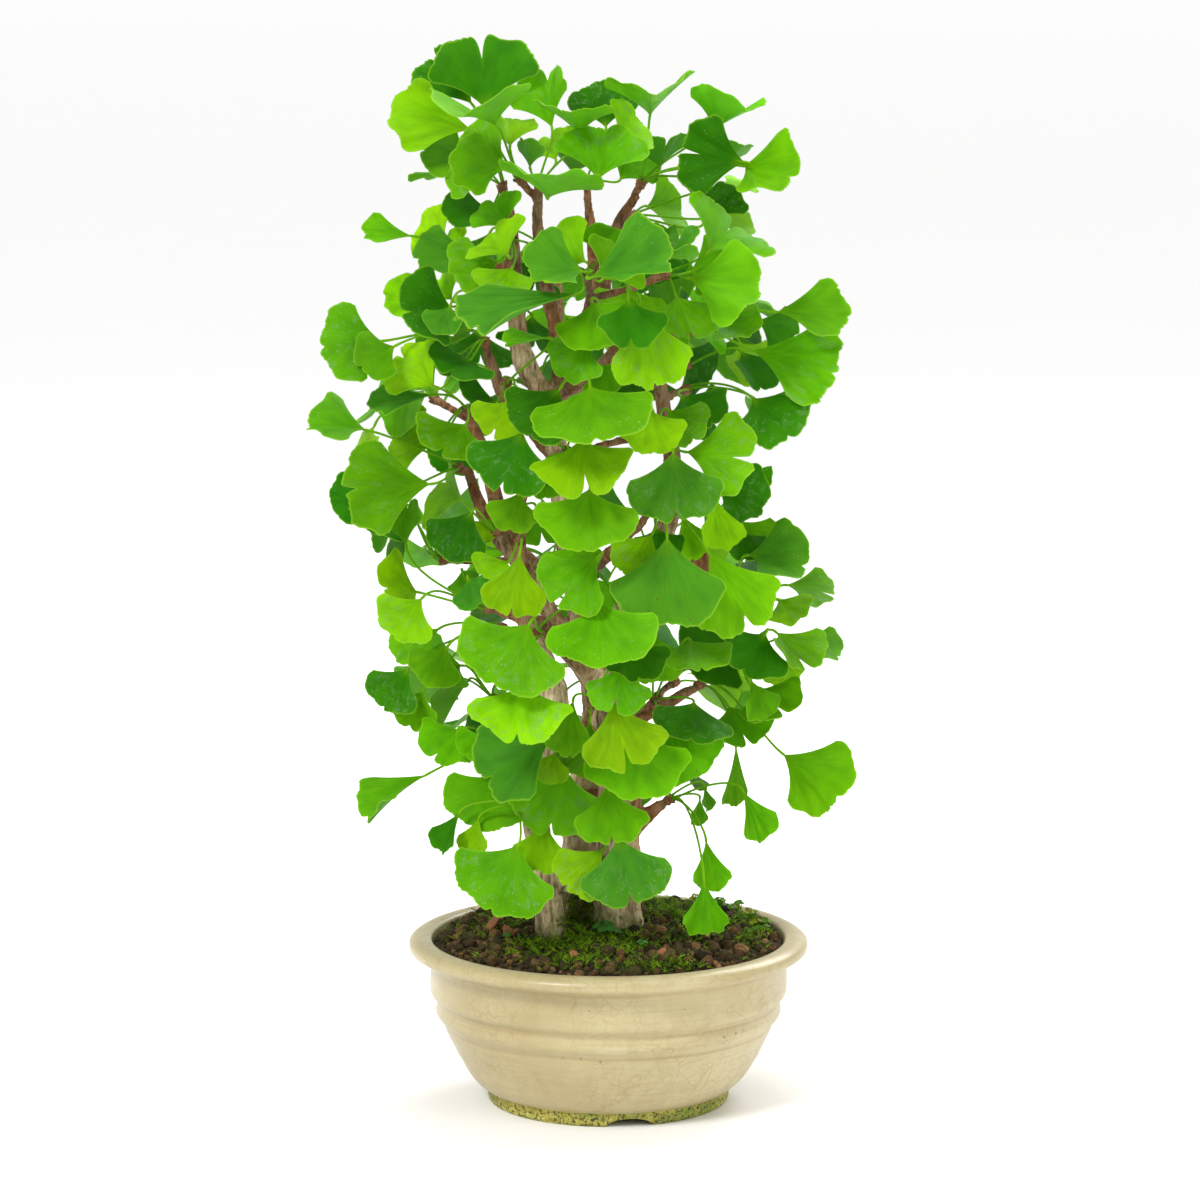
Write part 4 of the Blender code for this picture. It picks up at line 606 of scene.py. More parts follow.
def find_leaves(tips, ways):
    """Form, stalk and tone of every leaf of the frame, whorl by whorl."""
    whorls = []
    number = 0
    draw = random.Random(LEAF_SEED)
    for owner, (tip, way) in enumerate(zip(tips, ways)):
        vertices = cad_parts[f"leaf_tuft_{owner + 1:02d}"].data.vertices
        tree = tree_of([vertex.co for vertex in vertices])
        shown = owner < len(FRONT_TUFTS)
        if shown:
            rows = [Leaf(*row) for row in FRONT_TUFTS[owner][3]]
            feet = [at_pixel(row.foot_x, row.foot_y, row.depth) for row in rows]
        else:
            count = BACK_LEAVES_EACH
            rows = [SWEEP * ((k + 0.5) / count * 2 - 1) for k in range(count)]
            feet = [tip + outward(tip, heading) for heading in rows]
        leaves = []
        for row, root in zip(rows, whorl_roots(tip, way, feet)):
            number += 1
            if shown:
                found = find_row(tree, row, root, way, number)
            else:
                found = find_free(tree, tip, root, way, row, draw, number)
            if found:
                leaves.append((*found, row.tone if shown else draw.choice(BACK_TONES)))
            else:
                print("leaf", number, "isn't in the frame")
        whorls.append(leaves)
    return whorls


def stand(name, data):
    """New object in the scene."""
    thing = bpy.data.objects.new(name, data)
    bpy.context.scene.collection.objects.link(thing)
    return thing


class Cloth:
    """Points and faces of one piece, with a vector and a colour at each point for its shader."""

    def __init__(self):
        self.points, self.faces, self.slots = [], [], []
        self.marks, self.tones = [], []
        self.count = 0

    def add(self, points, faces, mark=(0.0, 0.0, 0.0), tone=(1.0, 1.0, 1.0), slot=0):
        points = np.asarray(points, float).reshape(-1, 3)
        rows = len(points)
        self.points.append(points)
        self.marks.append(np.broadcast_to(np.asarray(mark, float), (rows, 3)))
        self.tones.append(np.broadcast_to(np.asarray(tone, float), (rows, 3)))
        for face in faces:
            self.faces.append(tuple(int(i) + self.count for i in face))
        self.slots.extend([slot] * len(faces))
        self.count += rows
        return self

    def build(self, name, materials, sharp=None):
        """The object, with its edges sharp from an angle in degrees if one is given."""
        mesh = bpy.data.meshes.new(name)
        mesh.from_pydata(np.concatenate(self.points), [], self.faces)
        mesh.polygons.foreach_set("material_index", self.slots)
        mesh.polygons.foreach_set("use_smooth", [True] * len(self.faces))
        mark = mesh.attributes.new("mark", "FLOAT_VECTOR", "POINT")
        mark.data.foreach_set("vector", np.concatenate(self.marks).astype(np.float32).ravel())
        tone = mesh.attributes.new("tone", "FLOAT_COLOR", "POINT")
        colours = np.concatenate(self.tones)
        colours = np.hstack([colours, np.ones((len(colours), 1))])
        tone.data.foreach_set("color", colours.astype(np.float32).ravel())
        for material in materials:
            mesh.materials.append(material)
        if sharp is not None:
            mesh.set_sharp_from_angle(angle=math.radians(sharp))
        mesh.update()
        return stand(name, mesh)


def grid_faces(rows, cols, closed=False):
    """Quads of a grid of points, closed round its columns if asked."""
    faces = []
    for r in range(rows - 1):
        for c in range(cols if closed else cols - 1):
            d = (c + 1) % cols
            faces.append((r * cols + c, r * cols + d, (r + 1) * cols + d, (r + 1) * cols + c))
    return faces


def capped_faces(rows, sides):
    """Faces of rings of points, with one face over each end."""
    last = range((rows - 1) * sides, rows * sides)
    return grid_faces(rows, sides, closed=True) + [tuple(reversed(range(sides))), tuple(last)]


def flipped(faces, shift=0):
    """The same faces turned over, on points that come later by a shift."""
    return [tuple(i + shift for i in reversed(face)) for face in faces]


def shell_faces(front, border, count):
    """Front, back and wall round the border of a shell of twice so many points."""
    wall = [(b, a, a + count, b + count) for a, b in zip(border, (*border[1:], border[0]))]
    return front + flipped(front, count) + wall


def tube(path, radii, sides):
    """Points and faces of a closed tube along a path, its rings carried without a twist."""
    path = [Vector(p) for p in path]
    ahead = (path[1] - path[0]).normalized()
    side = ahead.orthogonal().normalized()
    points = []
    for i, centre in enumerate(path):
        step = (path[min(i + 1, len(path) - 1)] - path[max(i - 1, 0)]).normalized()
        side.rotate(ahead.rotation_difference(step))
        ahead = step
        up = ahead.cross(side)
        for k in range(sides):
            points.append(centre + around(side, up, math.tau * k / sides) * radii[i])
    return points, capped_faces(len(path), sides)


# Blades: where their rows of points lie between foot and rim
REACHES = (0.03, 0.10, 0.20, 0.34, 0.50, 0.67, 0.83, 0.94, 1.0)
# Points across a blade that is wider than so many millimetres
BLADE_COUNTS = ((44, 61), (32, 45), (0, 29))
# Bright, green, dark, bluish and underside
TONES = {
    "y": (0.210, 0.50, 0.001), "g": (0.106, 0.370, 0.001), "d": (0.030, 0.196, 0.001),
    "b": (0.060, 0.270, 0.012), "u": (0.13, 0.42, 0.003),
}
STALK_STEPS = 12
STALK_SIDES = 7
# Height and radius of a bud in millimetres
BUD_PROFILE = (
    (-1.2, 2.5), (0.2, 3.1), (1.2, 2.7), (2.2, 2.95), (3.1, 2.6), (4.2, 2.2), (4.6, 1.0),
)
BUD_ROUNDS = 14
BUD_SCALES = 9
BUD_TONE = (0.2, 0.1, 0.05)
SCALE_TONE = (0.22, 0.095, 0.04)
# Rows of a scale: share of its height, of its width and of its bulge
SCALE_ROWS = ((0.0, 0.8, 0.0), (0.4, 1.0, 0.5), (0.75, 0.7, 0.6), (1.0, 0.12, 0.2))
SCALE_BORDER = (0, 1, 2, 5, 8, 11, 10, 9, 6, 3)
# Every piece that has bud scales has their material second
SCALE_SLOT = 1


def fine_points(form, side, reach, draw):
    """Points of a blade with its slit, rounded corners and scalloped, rippled rim."""
    def waves(across, slow, fast, phase=6):
        return np.sin(draw.uniform(slow, fast) * across + draw.uniform(0, phase))
    spread = np.abs(side)
    angle = side * form.spread * (0.62 + 0.38 * reach) * (1.0 - 0.42 * np.exp(-reach / 0.07))
    rim = 1.0 - CORNER_PULLED_IN * spread ** 3
    rim += 0.03 * np.sin(form.turns * 2.1 * side + form.phase)
    slit = np.exp(-(spread / 0.04) ** 1.5) + 0.10 * np.exp(-(spread / 0.13) ** 2)
    rim *= 1.0 - form.notch * slit
    corner = np.clip((spread - 0.88) / 0.12, 0.0, 1.0)
    rim *= np.sqrt(1.0 - 0.24 * corner ** 2)
    warp = side + 0.09 * waves(side, 5, 9)
    scallops = np.abs(waves(warp, 9, 14, 3)) - 0.6
    teeth = np.abs(waves(warp, 25, 34, 3)) - 0.6
    fringe = waves(warp, 60, 75)
    swell = waves(side, 4, 7)
    edge = 0.020 * scallops + 0.015 * teeth + 0.004 * fringe + 0.014 * swell
    edge *= reach ** 6 * (1.0 - 0.5 * corner)
    radius = form.length * (rim * reach + edge)
    half = radius * np.sin(angle)
    out = rim * reach
    turn = form.fold * np.tanh(2.0 * spread)
    lift = np.abs(half) * np.sin(turn)
    lift += form.wave * out ** 2 * np.sin(form.turns * side + form.phase)
    lift -= form.droop * out ** 2
    ripple = waves(side, 11, 17)
    lift += form.length * draw.uniform(0.010, 0.032) * ripple * reach ** 3
    curl = np.clip(spread - 0.55, 0.0, 1.0) ** 2 * reach ** 2
    lift += form.length * draw.uniform(-0.3, 0.35) * curl
    ahead = radius * np.cos(angle)
    return (np.array(form.foot)
            + np.multiply.outer(half * np.cos(turn), np.array(form.across))
            + np.multiply.outer(ahead, np.array(form.along))
            + np.multiply.outer(lift, np.array(form.face)))


def add_blade(cloth, form, tone, draw):
    """Blade of two skins that meet in a narrow wall, stouter at its foot."""
    count = next(count for wide, count in BLADE_COUNTS if form.width > wide * MM)
    steps = np.linspace(-1.0, 1.0, count)
    sides = np.sign(steps) * np.abs(steps) ** 1.3
    side, reach = np.meshgrid(sides, np.array(REACHES))
    points = fine_points(form, side, reach, draw)
    normal = np.cross(np.gradient(points, axis=1), np.gradient(points, axis=0))
    normal /= np.maximum(np.linalg.norm(normal, axis=2, keepdims=True), 1e-12)
    half = (0.18 + 0.30 * np.exp(-reach / 0.05)) * MM
    top = points + normal * half[..., None]
    low = points - normal * half[..., None]
    rows = len(REACHES)
    size = rows * count
    faces = grid_faces(rows, count)
    faces += flipped(faces, size)
    last = (rows - 1) * count
    for c in range(count - 1):
        faces.append((last + c, last + c + 1, size + last + c + 1, size + last + c))
        faces.append((c + 1, c, size + c, size + c + 1))
    for r in range(rows - 1):
        a, b = r * count, (r + 1) * count
        faces.append((a, b, size + b, size + a))
        a, b = a + count - 1, b + count - 1
        faces.append((b, a, size + a, size + b))
    luck = draw.random()
    upper = np.stack([side, reach, np.full_like(side, luck)], axis=2).reshape(-1, 3)
    lower = upper + np.array([0.0, 0.0, 2.0])
    cloth.add(np.concatenate([top.reshape(-1, 3), low.reshape(-1, 3)]), faces,
              np.concatenate([upper, lower]), tone)


def add_stalk(cloth, form, knots, tone, draw):
    """Round stalk from the spur into the blade's foot, a little stouter at both ends."""
    shares = [i / STALK_STEPS for i in range(STALK_STEPS + 1)]
    path = [bezier(knots, t) for t in shares]
    radii = [(0.70 + 0.40 * math.exp(-t / 0.06) + 0.22 * math.exp((t - 1.0) / 0.1)) * MM
             for t in shares]
    ending = min(0.16 * form.length, 6 * MM)
    path += [form.foot + form.along * ending * 0.5, form.foot + form.along * ending]
    radii += [0.5 * MM, 0.14 * MM]
    points, faces = tube(path, radii, STALK_SIDES)
    marks = [(0.0, -1.0 + t, 1.0 + 0.5 * draw.random()) for t in (*shares, 1.0, 1.0)]
    cloth.add(points, faces, np.repeat(np.array(marks), STALK_SIDES, axis=0), tone)


def add_bud(cloth, tip, way, draw):
    """Cup of brown bud scales that a whorl's stalks come out of."""
    side = way.orthogonal().normalized()
    over = way.cross(side)
    points = []
    for height, radius in BUD_PROFILE:
        for k in range(BUD_ROUNDS):
            turn = math.tau * k / BUD_ROUNDS
            bump = 1.0 + 0.07 * math.cos(5 * turn + height * 2.0) + draw.uniform(-0.04, 0.04)
            out = around(side, over, turn) * radius * bump
            points.append(tip + way * height * MM + out * MM)
    faces = capped_faces(len(BUD_PROFILE), BUD_ROUNDS)
    cloth.add(points, faces, (0.0, 0.0, draw.random()), BUD_TONE, SCALE_SLOT)
    for k in range(BUD_SCALES):
        out = around(side, over, math.tau * k / BUD_SCALES + draw.uniform(-0.2, 0.2))
        base = tip + way * draw.uniform(0.2, 2.6) * MM + out * 2.3 * MM
        add_scale(cloth, base, way, out, draw)


def add_scale(cloth, base, way, out, draw, size=1.0):
    """One papery bud scale: a small pointed shield that leans out."""
    width, height = 1.3 * size * MM, draw.uniform(2.0, 3.2) * size * MM
    across = way.cross(out)
    lean = (way + out * draw.uniform(0.15, 0.55)).normalized()
    depth = out * 0.45 * size * MM
    rows = []
    for t, w, bulge in SCALE_ROWS:
        for c in (-1.0, 0.0, 1.0):
            rows.append(base + lean * height * t + across * width * w * c
                        + depth * (bulge + 0.6 * (1 - abs(c))))
    back = [point - depth * 0.9 for point in rows]
    front = flipped(grid_faces(len(SCALE_ROWS), 3))
    faces = shell_faces(front, SCALE_BORDER, len(rows))
    shade = draw.uniform(0.7, 1.3)
    tone = tuple(value * shade for value in SCALE_TONE)
    cloth.add(rows + back, faces, (0.0, 0.0, draw.random()), tone, SCALE_SLOT)


class Shader:
    """Short way to write the nodes of one material."""

    def __init__(self, name, roughness, specular):
        self.material = bpy.data.materials.new(name)
        self.material.use_nodes = True
        self.nodes = self.material.node_tree.nodes
        self.links = self.material.node_tree.links
        self.surface = self.nodes["Principled BSDF"]
        self.output = self.nodes["Material Output"]
        self.surface.inputs["Roughness"].default_value = roughness
        self.surface.inputs["Specular IOR Level"].default_value = specular

    def put(self, socket, value):
        """Link an output to a socket, or set the socket's own value."""
        if isinstance(value, bpy.types.NodeSocket):
            self.links.new(value, socket)
        elif isinstance(value, tuple) and len(value) == 3 and socket.type == "RGBA":
            socket.default_value = (*value, 1.0)
        else:
            socket.default_value = value

    def node(self, kind, inputs=None, **settings):
        """Outputs of a new node with its settings and inputs."""
        node = self.nodes.new("ShaderNode" + kind)
        for name, value in settings.items():
            setattr(node, name, value)
        for key, value in (inputs or {}).items():
            self.put(node.inputs[key], value)
        return node.outputs

    def math(self, operation, first, second=0.0, third=0.0, clamp=False):
        inputs = {0: first, 1: second, 2: third}
        return self.node("Math", inputs, operation=operation, use_clamp=clamp)[0]

    def times(self, first, *others):
        for other in others:
            first = self.math("MULTIPLY", first, other)
        return first

    def plus(self, first, second):
        return self.math("ADD", first, second)

    def share(self, value, start, length, clamp=False):
        """How far a value is past a start, as a share of a length."""
        return self.math("DIVIDE", self.math("SUBTRACT", value, start), length, clamp=clamp)

    def away(self, value, middle, reach):
        """How far a value is to either side of a middle, as a share of a reach."""
        off = self.math("ABSOLUTE", self.math("SUBTRACT", value, middle))
        return self.math("DIVIDE", off, reach)

    def mix(self, factor, first, second, mode="MIX"):
        inputs = {0: factor, 6: first, 7: second}
        return self.node("Mix", inputs, data_type="RGBA", blend_type=mode)[2]

    def tint(self, colour, factors):
        return self.mix(1.0, colour, factors, "MULTIPLY")

    def ramp(self, value, *stops):
        node = self.nodes.new("ShaderNodeValToRGB")
        elements = node.color_ramp.elements
        while len(elements) < len(stops):
            elements.new(0.5)
        for element, (place, colour) in zip(elements, stops):
            element.position = place
            shade = colour if isinstance(colour, tuple) else (colour, colour, colour)
            element.color = (*shade, 1.0)
        self.put(node.inputs[0], value)
        return node.outputs[0]

    def layer(self, under, over, value, *stops):
        """One colour laid over another by a ramp of a value."""
        return self.mix(self.ramp(value, *stops), under, over)

    def attribute(self, name, output):
        return self.node("Attribute", attribute_name=name)[output]

    def split(self, vector):
        return self.node("SeparateXYZ", {0: vector})

    def stretch(self, places, factors):
        """Vector of three places, each by its own factor."""
        values = [self.times(place, factor) for place, factor in zip(places, factors)]
        return self.node("CombineXYZ", dict(enumerate(values)))[0]

    def place(self, scale=(1.0, 1.0, 1.0)):
        """Object coordinates, scaled along each axis."""
        return self.node("Mapping", {"Vector": self.node("TexCoord")["Object"], "Scale": scale})[0]

    def noise(self, vector, scale, detail=3.0, roughness=0.5, distortion=0.0, colour=False):
        inputs = {"Vector": vector, "Scale": scale, "Detail": detail, "Roughness": roughness,
                  "Distortion": distortion}
        return self.node("TexNoise", inputs)[1 if colour else 0]

    def cells(self, vector, scale, feature="F1"):
        inputs = {"Vector": vector, "Scale": scale}
        return self.node("TexVoronoi", inputs, feature=feature)["Distance"]

    def bump(self, height, strength, distance):
        inputs = {"Strength": strength, "Distance": distance, "Height": height}
        self.put(self.surface.inputs["Normal"], self.node("Bump", inputs)[0])

    def finish(self, colour, through=0.0, tint=None):
        """Set the colour, and let a share of the light through in a tint of it."""
        self.put(self.surface.inputs["Base Color"], colour)
        if through:
            glow = self.node("BsdfTranslucent", {"Color": self.tint(colour, tint)})[0]
            both = self.node("MixShader", {0: through, 1: self.surface.outputs[0], 2: glow})[0]
            self.put(self.output.inputs["Surface"], both)
        return self.material


def leaf_material():
    """Living blade and stalk: veins, pale rim, patches of painted sheen, a few spots, light through
    it.

    The mark's first two values are the place across and out. The third is the leaf's own chance
    and 2 more on the underside. On stalks the second value is below zero.
    """
    s = Shader("ginkgo_leaf", 0.44, 0.08)
    side, reach, luck = s.split(s.attribute("mark", "Vector"))
    tone = s.attribute("tone", "Color")
    under = s.math("GREATER_THAN", luck, 1.999)
    own = s.math("FRACT", luck)
    blade = (side, reach, own)
    streak = s.noise(s.stretch(blade, (34.0, 2.2, 57.0)), 1.0, 3.0, 0.6)
    close = s.math("SINE", s.times(side, 150.0))
    far = s.math("SINE", s.times(side, 300.0))
    outer = s.math("SMOOTH_MIN", s.times(reach, 1.6), 1.0, 0.2)
    vein = s.plus(s.times(close, s.math("SUBTRACT", 1.0, outer)), s.times(far, outer))
    spotty = s.stretch(blade, (3.0, 3.0, 91.0))
    cloud = s.noise(spotty, 1.0, 2.0, 0.5)
    colour = s.layer(tone, s.tint(tone, (1.55, 1.34, 1.3)), streak, (0.32, 0.0), (0.72, 0.85))
    colour = s.layer(colour, s.tint(tone, (0.55, 0.72, 0.7)), cloud, (0.4, 0.0), (0.7, 0.65))
    veiny = s.math("MULTIPLY_ADD", vein, 0.24, 0.18)
    colour = s.mix(veiny, colour, s.tint(tone, (1.75, 1.38, 1.5)))
    colour = s.layer(colour, (0.19, 0.44, 0.003), reach, (0.02, 0.7), (0.26, 0.0))
    ripe = s.times(s.ramp(reach, (0.45, 0.0), (0.97, 0.7)),
                   s.ramp(cloud, (0.3, 1.0), (0.65, 0.35)))
    colour = s.mix(ripe, colour, s.tint(tone, (1.75, 1.36, 1.0)))
    # Painted sheen in grey-green patches, and whitish dust, between the middle and the rim of some
    # blades
    patchy = s.noise(spotty, 2.2, 4.0, 0.6, 0.6)
    outside = s.ramp(reach, (0.35, 0.0), (0.62, 1.0), (0.93, 1.0), (1.0, 0.3))
    some = s.ramp(own, (0.60, 0.0), (0.75, 1.0))
    # Painted sheen: paler grey-green patches where light glances off some blades
    painted_sheen = s.times(s.ramp(patchy, (0.52, 0.0), (0.72, 0.5)), outside, some)
    colour = s.mix(painted_sheen, colour, (0.24, 0.42, 0.17))
    dust = s.ramp(s.cells(s.stretch(blade, (17.0, 13.0, 71.0)), 1.0), (0.10, 0.6), (0.20, 0.0))
    dust = s.times(dust, s.ramp(patchy, (0.46, 0.0), (0.54, 1.0)), outside,
                   s.ramp(own, (0.40, 0.0), (0.55, 1.0)))
    colour = s.mix(dust, colour, (0.42, 0.55, 0.30))
    # A few brown spots
    dot = s.math("LESS_THAN", s.cells(s.stretch(blade, (6.0, 6.0, 37.0)), 1.0), 0.09)
    rare = s.ramp(own, (0.12, 1.0), (0.14, 0.0))
    colour = s.mix(s.times(dot, rare), colour, (0.20, 0.10, 0.03))
    # Pale margin
    rim = s.ramp(reach, (0.972, 0.0), (0.998, 0.6))
    lateral = s.ramp(s.math("ABSOLUTE", side), (0.98, 0.0), (1.0, 0.4))
    colour = s.mix(s.math("MAXIMUM", rim, lateral), colour, (0.38, 0.66, 0.04))
    colour = s.mix(s.times(under, 0.36), colour, (0.19, 0.46, 0.045))
    stalk = s.math("LESS_THAN", reach, 0.001)
    along = s.ramp(s.plus(reach, 1.0), (0.0, (0.18, 0.27, 0.02)), (0.12, (0.15, 0.40, 0.008)),
                   (1.0, (0.22, 0.50, 0.006)))
    colour = s.mix(stalk, colour, along)
    s.bump(s.plus(s.times(vein, 0.5), s.times(streak, 2.2)), 0.42, 0.0004)
    return s.finish(colour, 0.36, (1.8, 1.5, 0.3))


def bud_material():
    s = Shader("bud_scales", 0.7, 0.3)
    tone = s.attribute("tone", "Color")
    grain = s.noise(s.place((1.0, 1.0, 0.35)), 900.0, 3.0, 0.6)
    dark, light = s.tint(tone, (0.6, 0.55, 0.5)), s.tint(tone, (1.5, 1.35, 1.2))
    s.bump(grain, 0.5, 0.0004)
    return s.finish(s.layer(dark, light, grain, (0.3, 0.0), (0.7, 1.0)))


def jitter(tone, draw):
    """A leaf's own shade of a tone, a little lighter or darker and warmer or colder."""
    value = draw.uniform(0.86, 1.16)
    warm = draw.uniform(-0.12, 0.12)
    return (tone[0] * value * (1 + warm), tone[1] * value, tone[2] * value * (1 - warm))


def build_whorls(tips, ways, whorls):
    materials = (leaf_material(), bud_material())
    for owner, leaves in enumerate(whorls):
        draw = random.Random(LEAF_SEED * 77 + owner)
        cloth = Cloth()
        for form, knots, tone in leaves:
            shade = jitter(TONES[tone], draw)
            add_blade(cloth, form, shade, draw)
            add_stalk(cloth, form, knots, shade, draw)
        add_bud(cloth, tips[owner], ways[owner], draw)
        piece = cloth.build(f"whorl_{owner + 1:02d}", materials, sharp=65)
        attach(piece, "root")
        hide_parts(f"leaf_tuft_{owner + 1:02d}")


# Wood
WOOD_VOXEL = 1.7 * MM
TRUNKS = ("left_trunk", "right_trunk", "back_trunk")
# Trunks swell towards the soil: where it starts to count, how high it reaches, and how much
SWELL_FOOT, SWELL_HEIGHT, SWELL_SHARE = 0.100, 0.030, 0.28
# Radii in millimetres of the thinnest wood and of how much thicker wood looks quite old
YOUNG_GIRTH, OLDER_BY = 3.0, 7.0


def curve_through(knots, step):
    """Points of a smooth curve through knots of three places and a radius, two or more a span."""
    knots = np.asarray(knots, float)
    ends = np.vstack([2 * knots[0] - knots[1], knots, 2 * knots[-1] - knots[-2]])
    rows = []
    for i in range(1, len(ends) - 2):
        a, b, c, d = ends[i - 1:i + 3]
        count = max(2, int(np.linalg.norm(c[:3] - b[:3]) / step))
        for t in np.arange(count) / count:
            rows.append(0.5 * (2 * b + (c - a) * t + (2 * a - 5 * b + 4 * c - d) * t * t
                               + (3 * b - a - 3 * c + d) * t ** 3))
    rows.append(knots[-1])
    return np.array(rows)


def limb_rows(points, radii, draw):
    """A limb's smooth middle line with a radius that swells at its old buds."""
    knots = [(*point, radius * MM) for point, radius in zip(points, radii)]
    rows = curve_through(knots, 4 * MM)
    phase, pitch = draw.uniform(0, 6), draw.uniform(0.45, 0.7)
    for i, row in enumerate(rows):
        row[3] *= 1.0 + 0.06 * math.sin(i * pitch + phase) + draw.uniform(-0.03, 0.03)
    return rows


def spur_rows(start, tip, draw):
    """A spur's middle line, a little bent, with rings of old bud scars."""
    bend = Vector([draw.uniform(-1.5, 1.5) * MM for _ in range(3)])
    middle = start.lerp(tip, 0.5) + bend
    rows = curve_through([(*start, 2.6 * MM), (*middle, 2.5 * MM), (*tip, 2.9 * MM)], 2 * MM)
    for i, row in enumerate(rows):
        row[3] *= 1.0 + 0.10 * math.sin(i * 2.1)
    return rows


def lumpy(point, scale, octaves=3):
    return noise.fractal(point * scale, 0.9, 2.0, octaves)


def melted(cloth):
    """One even skin round all the tubes of a cloth."""
    source = cloth.build("bark_source", ())
    melt = source.modifiers.new("melt", "REMESH")
    melt.mode = "VOXEL"
    melt.voxel_size = WOOD_VOXEL
    melt.use_smooth_shade = True
    ease = source.modifiers.new("ease", "SMOOTH")
    ease.factor = 0.5
    ease.iterations = 2
    graph = bpy.context.evaluated_depsgraph_get()
    mesh = bpy.data.meshes.new_from_object(source.evaluated_get(graph))
    bpy.data.objects.remove(source)
    return mesh


def build_bark(tips, starts):
    """Trunks, limbs and spurs melted into one skin, then furrowed."""
    draw = random.Random(5)
    cloth = Cloth()
    middles = []
    for name, (points, radii) in limb_paths().items():
        rows = limb_rows(points, radii, draw)
        if name in TRUNKS:
            for row in rows:
                low = max(0.0, 1.0 - (row[2] - SWELL_FOOT) / SWELL_HEIGHT)
                row[3] *= 1.0 + SWELL_SHARE * low ** 2
        cloth.add(*tube(rows[:, :3], rows[:, 3], 20 if max(radii) > 9 else 12))
        middles.extend(rows)
    for tip, start in zip(tips, starts):
        rows = spur_rows(start, tip, draw)
        cloth.add(*tube(rows[:, :3], rows[:, 3], 10))
        middles.extend(rows)
    mesh = melted(cloth)
    tree = tree_of([row[:3] for row in middles])
    girths, shifts = [], []
    for vertex in mesh.vertices:
        point = vertex.co
        girth = middles[tree.find(point)[1]][3] / MM
        girths.append(girth)
        old = min(1.0, max(0.0, (girth - YOUNG_GIRTH) / OLDER_BY))
        tall = Vector((point.x, point.y, point.z * 0.33))
        furrow = -abs(lumpy(tall, 420.0, 4)) * 0.85 + lumpy(point, 160.0) * 0.45
        rings = math.sin(point.z * 1500.0 + lumpy(point, 90.0) * 2.0) * (1.0 - old) * 0.12
        shifts.append(vertex.normal * ((furrow * (0.35 + old) + rings) * MM))
    for vertex, shift in zip(mesh.vertices, shifts):
        vertex.co += shift
    mesh.attributes.new("girth", "FLOAT", "POINT").data.foreach_set("value", girths)
    mesh.materials.clear()
    mesh.materials.append(bark_material())
    mesh.polygons.foreach_set("use_smooth", [True] * len(mesh.polygons))
    piece = stand("bark_trunk", mesh)
    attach(piece, "root")
    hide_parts("trunk")
    return piece


def bark_material():
    """Grey cracked bark low down, red-brown and ringed on young wood, mossy at the foot."""
    s = Shader("ginkgo_bark", 0.86, 0.25)
    girth = s.math("DIVIDE", s.attribute("girth", "Fac"), 12.0, clamp=True)
    across, deep, height = s.split(s.place())
    grain = s.noise(s.place((1.0, 1.0, 0.22)), 420.0, 6.0, 0.65, 0.4)
    blotch = s.noise(s.place((1.0, 1.0, 0.5)), 70.0, 4.0, 0.6)
    fine = s.noise(s.place((1.0, 1.0, 0.6)), 1500.0, 3.0, 0.6)
    old = s.ramp(grain, (0.29, (0.06, 0.040, 0.018)), (0.39, (0.27, 0.195, 0.10)),
                 (0.52, (0.55, 0.42, 0.255)), (0.70, (0.78, 0.65, 0.46)))
    young = s.ramp(grain, (0.3, (0.10, 0.036, 0.014)), (0.52, (0.29, 0.120, 0.050)),
                   (0.75, (0.47, 0.26, 0.14)))
    rings = s.noise(s.place((0.15, 0.15, 1.0)), 330.0, 2.0, 0.5)
    young = s.layer(young, (0.36, 0.22, 0.13), rings, (0.52, 0.0), (0.60, 0.45))
    patch = s.noise(s.place((1.0, 1.0, 0.4)), 38.0, 3.0, 0.6)
    grey = s.ramp(grain, (0.3, (0.07, 0.045, 0.022)), (0.7, (0.30, 0.22, 0.14)))
    young = s.layer(young, grey, patch, (0.46, 0.0), (0.62, 0.65))
    colour = s.layer(old, young, girth, (0.40, 1.0), (0.62, 0.0))
    dark = s.tint(colour, (0.36, 0.31, 0.24))
    colour = s.layer(colour, dark, blotch, (0.50, 0.0), (0.62, 0.75))
    light = s.tint(colour, (1.5, 1.4, 1.25))
    colour = s.layer(colour, light, fine, (0.4, 0.0), (0.7, 0.4))
    low = s.math("SUBTRACT", 1.0, s.share(height, 0.100, 0.055), clamp=True)
    algae = s.times(low, s.noise(s.place(), 95.0, 4.0, 0.65))
    colour = s.layer(colour, (0.085, 0.115, 0.014), algae, (0.26, 0.0), (0.50, 0.8))
    # Dark mossy hollow between the two front trunks
    inner = s.times(
        s.ramp(s.away(across, POT_AXIS.x - 0.017, 0.016), (0.35, 1.0), (1.0, 0.0)),
        s.ramp(s.share(height, 0.105, 0.075), (0.1, 1.0), (1.0, 0.0)),
        s.math("LESS_THAN", deep, POT_AXIS.y - 0.006),
        s.ramp(s.noise(s.place(), 140.0, 4.0, 0.65), (0.30, 0.1), (0.5, 1.0)),
    )
    mould = s.ramp(grain, (0.35, (0.020, 0.020, 0.006)), (0.65, (0.075, 0.095, 0.014)))
    colour = s.mix(inner, colour, mould)
    s.bump(s.plus(grain, s.times(fine, 0.35)), 0.8, 0.0012)
    return s.finish(colour)


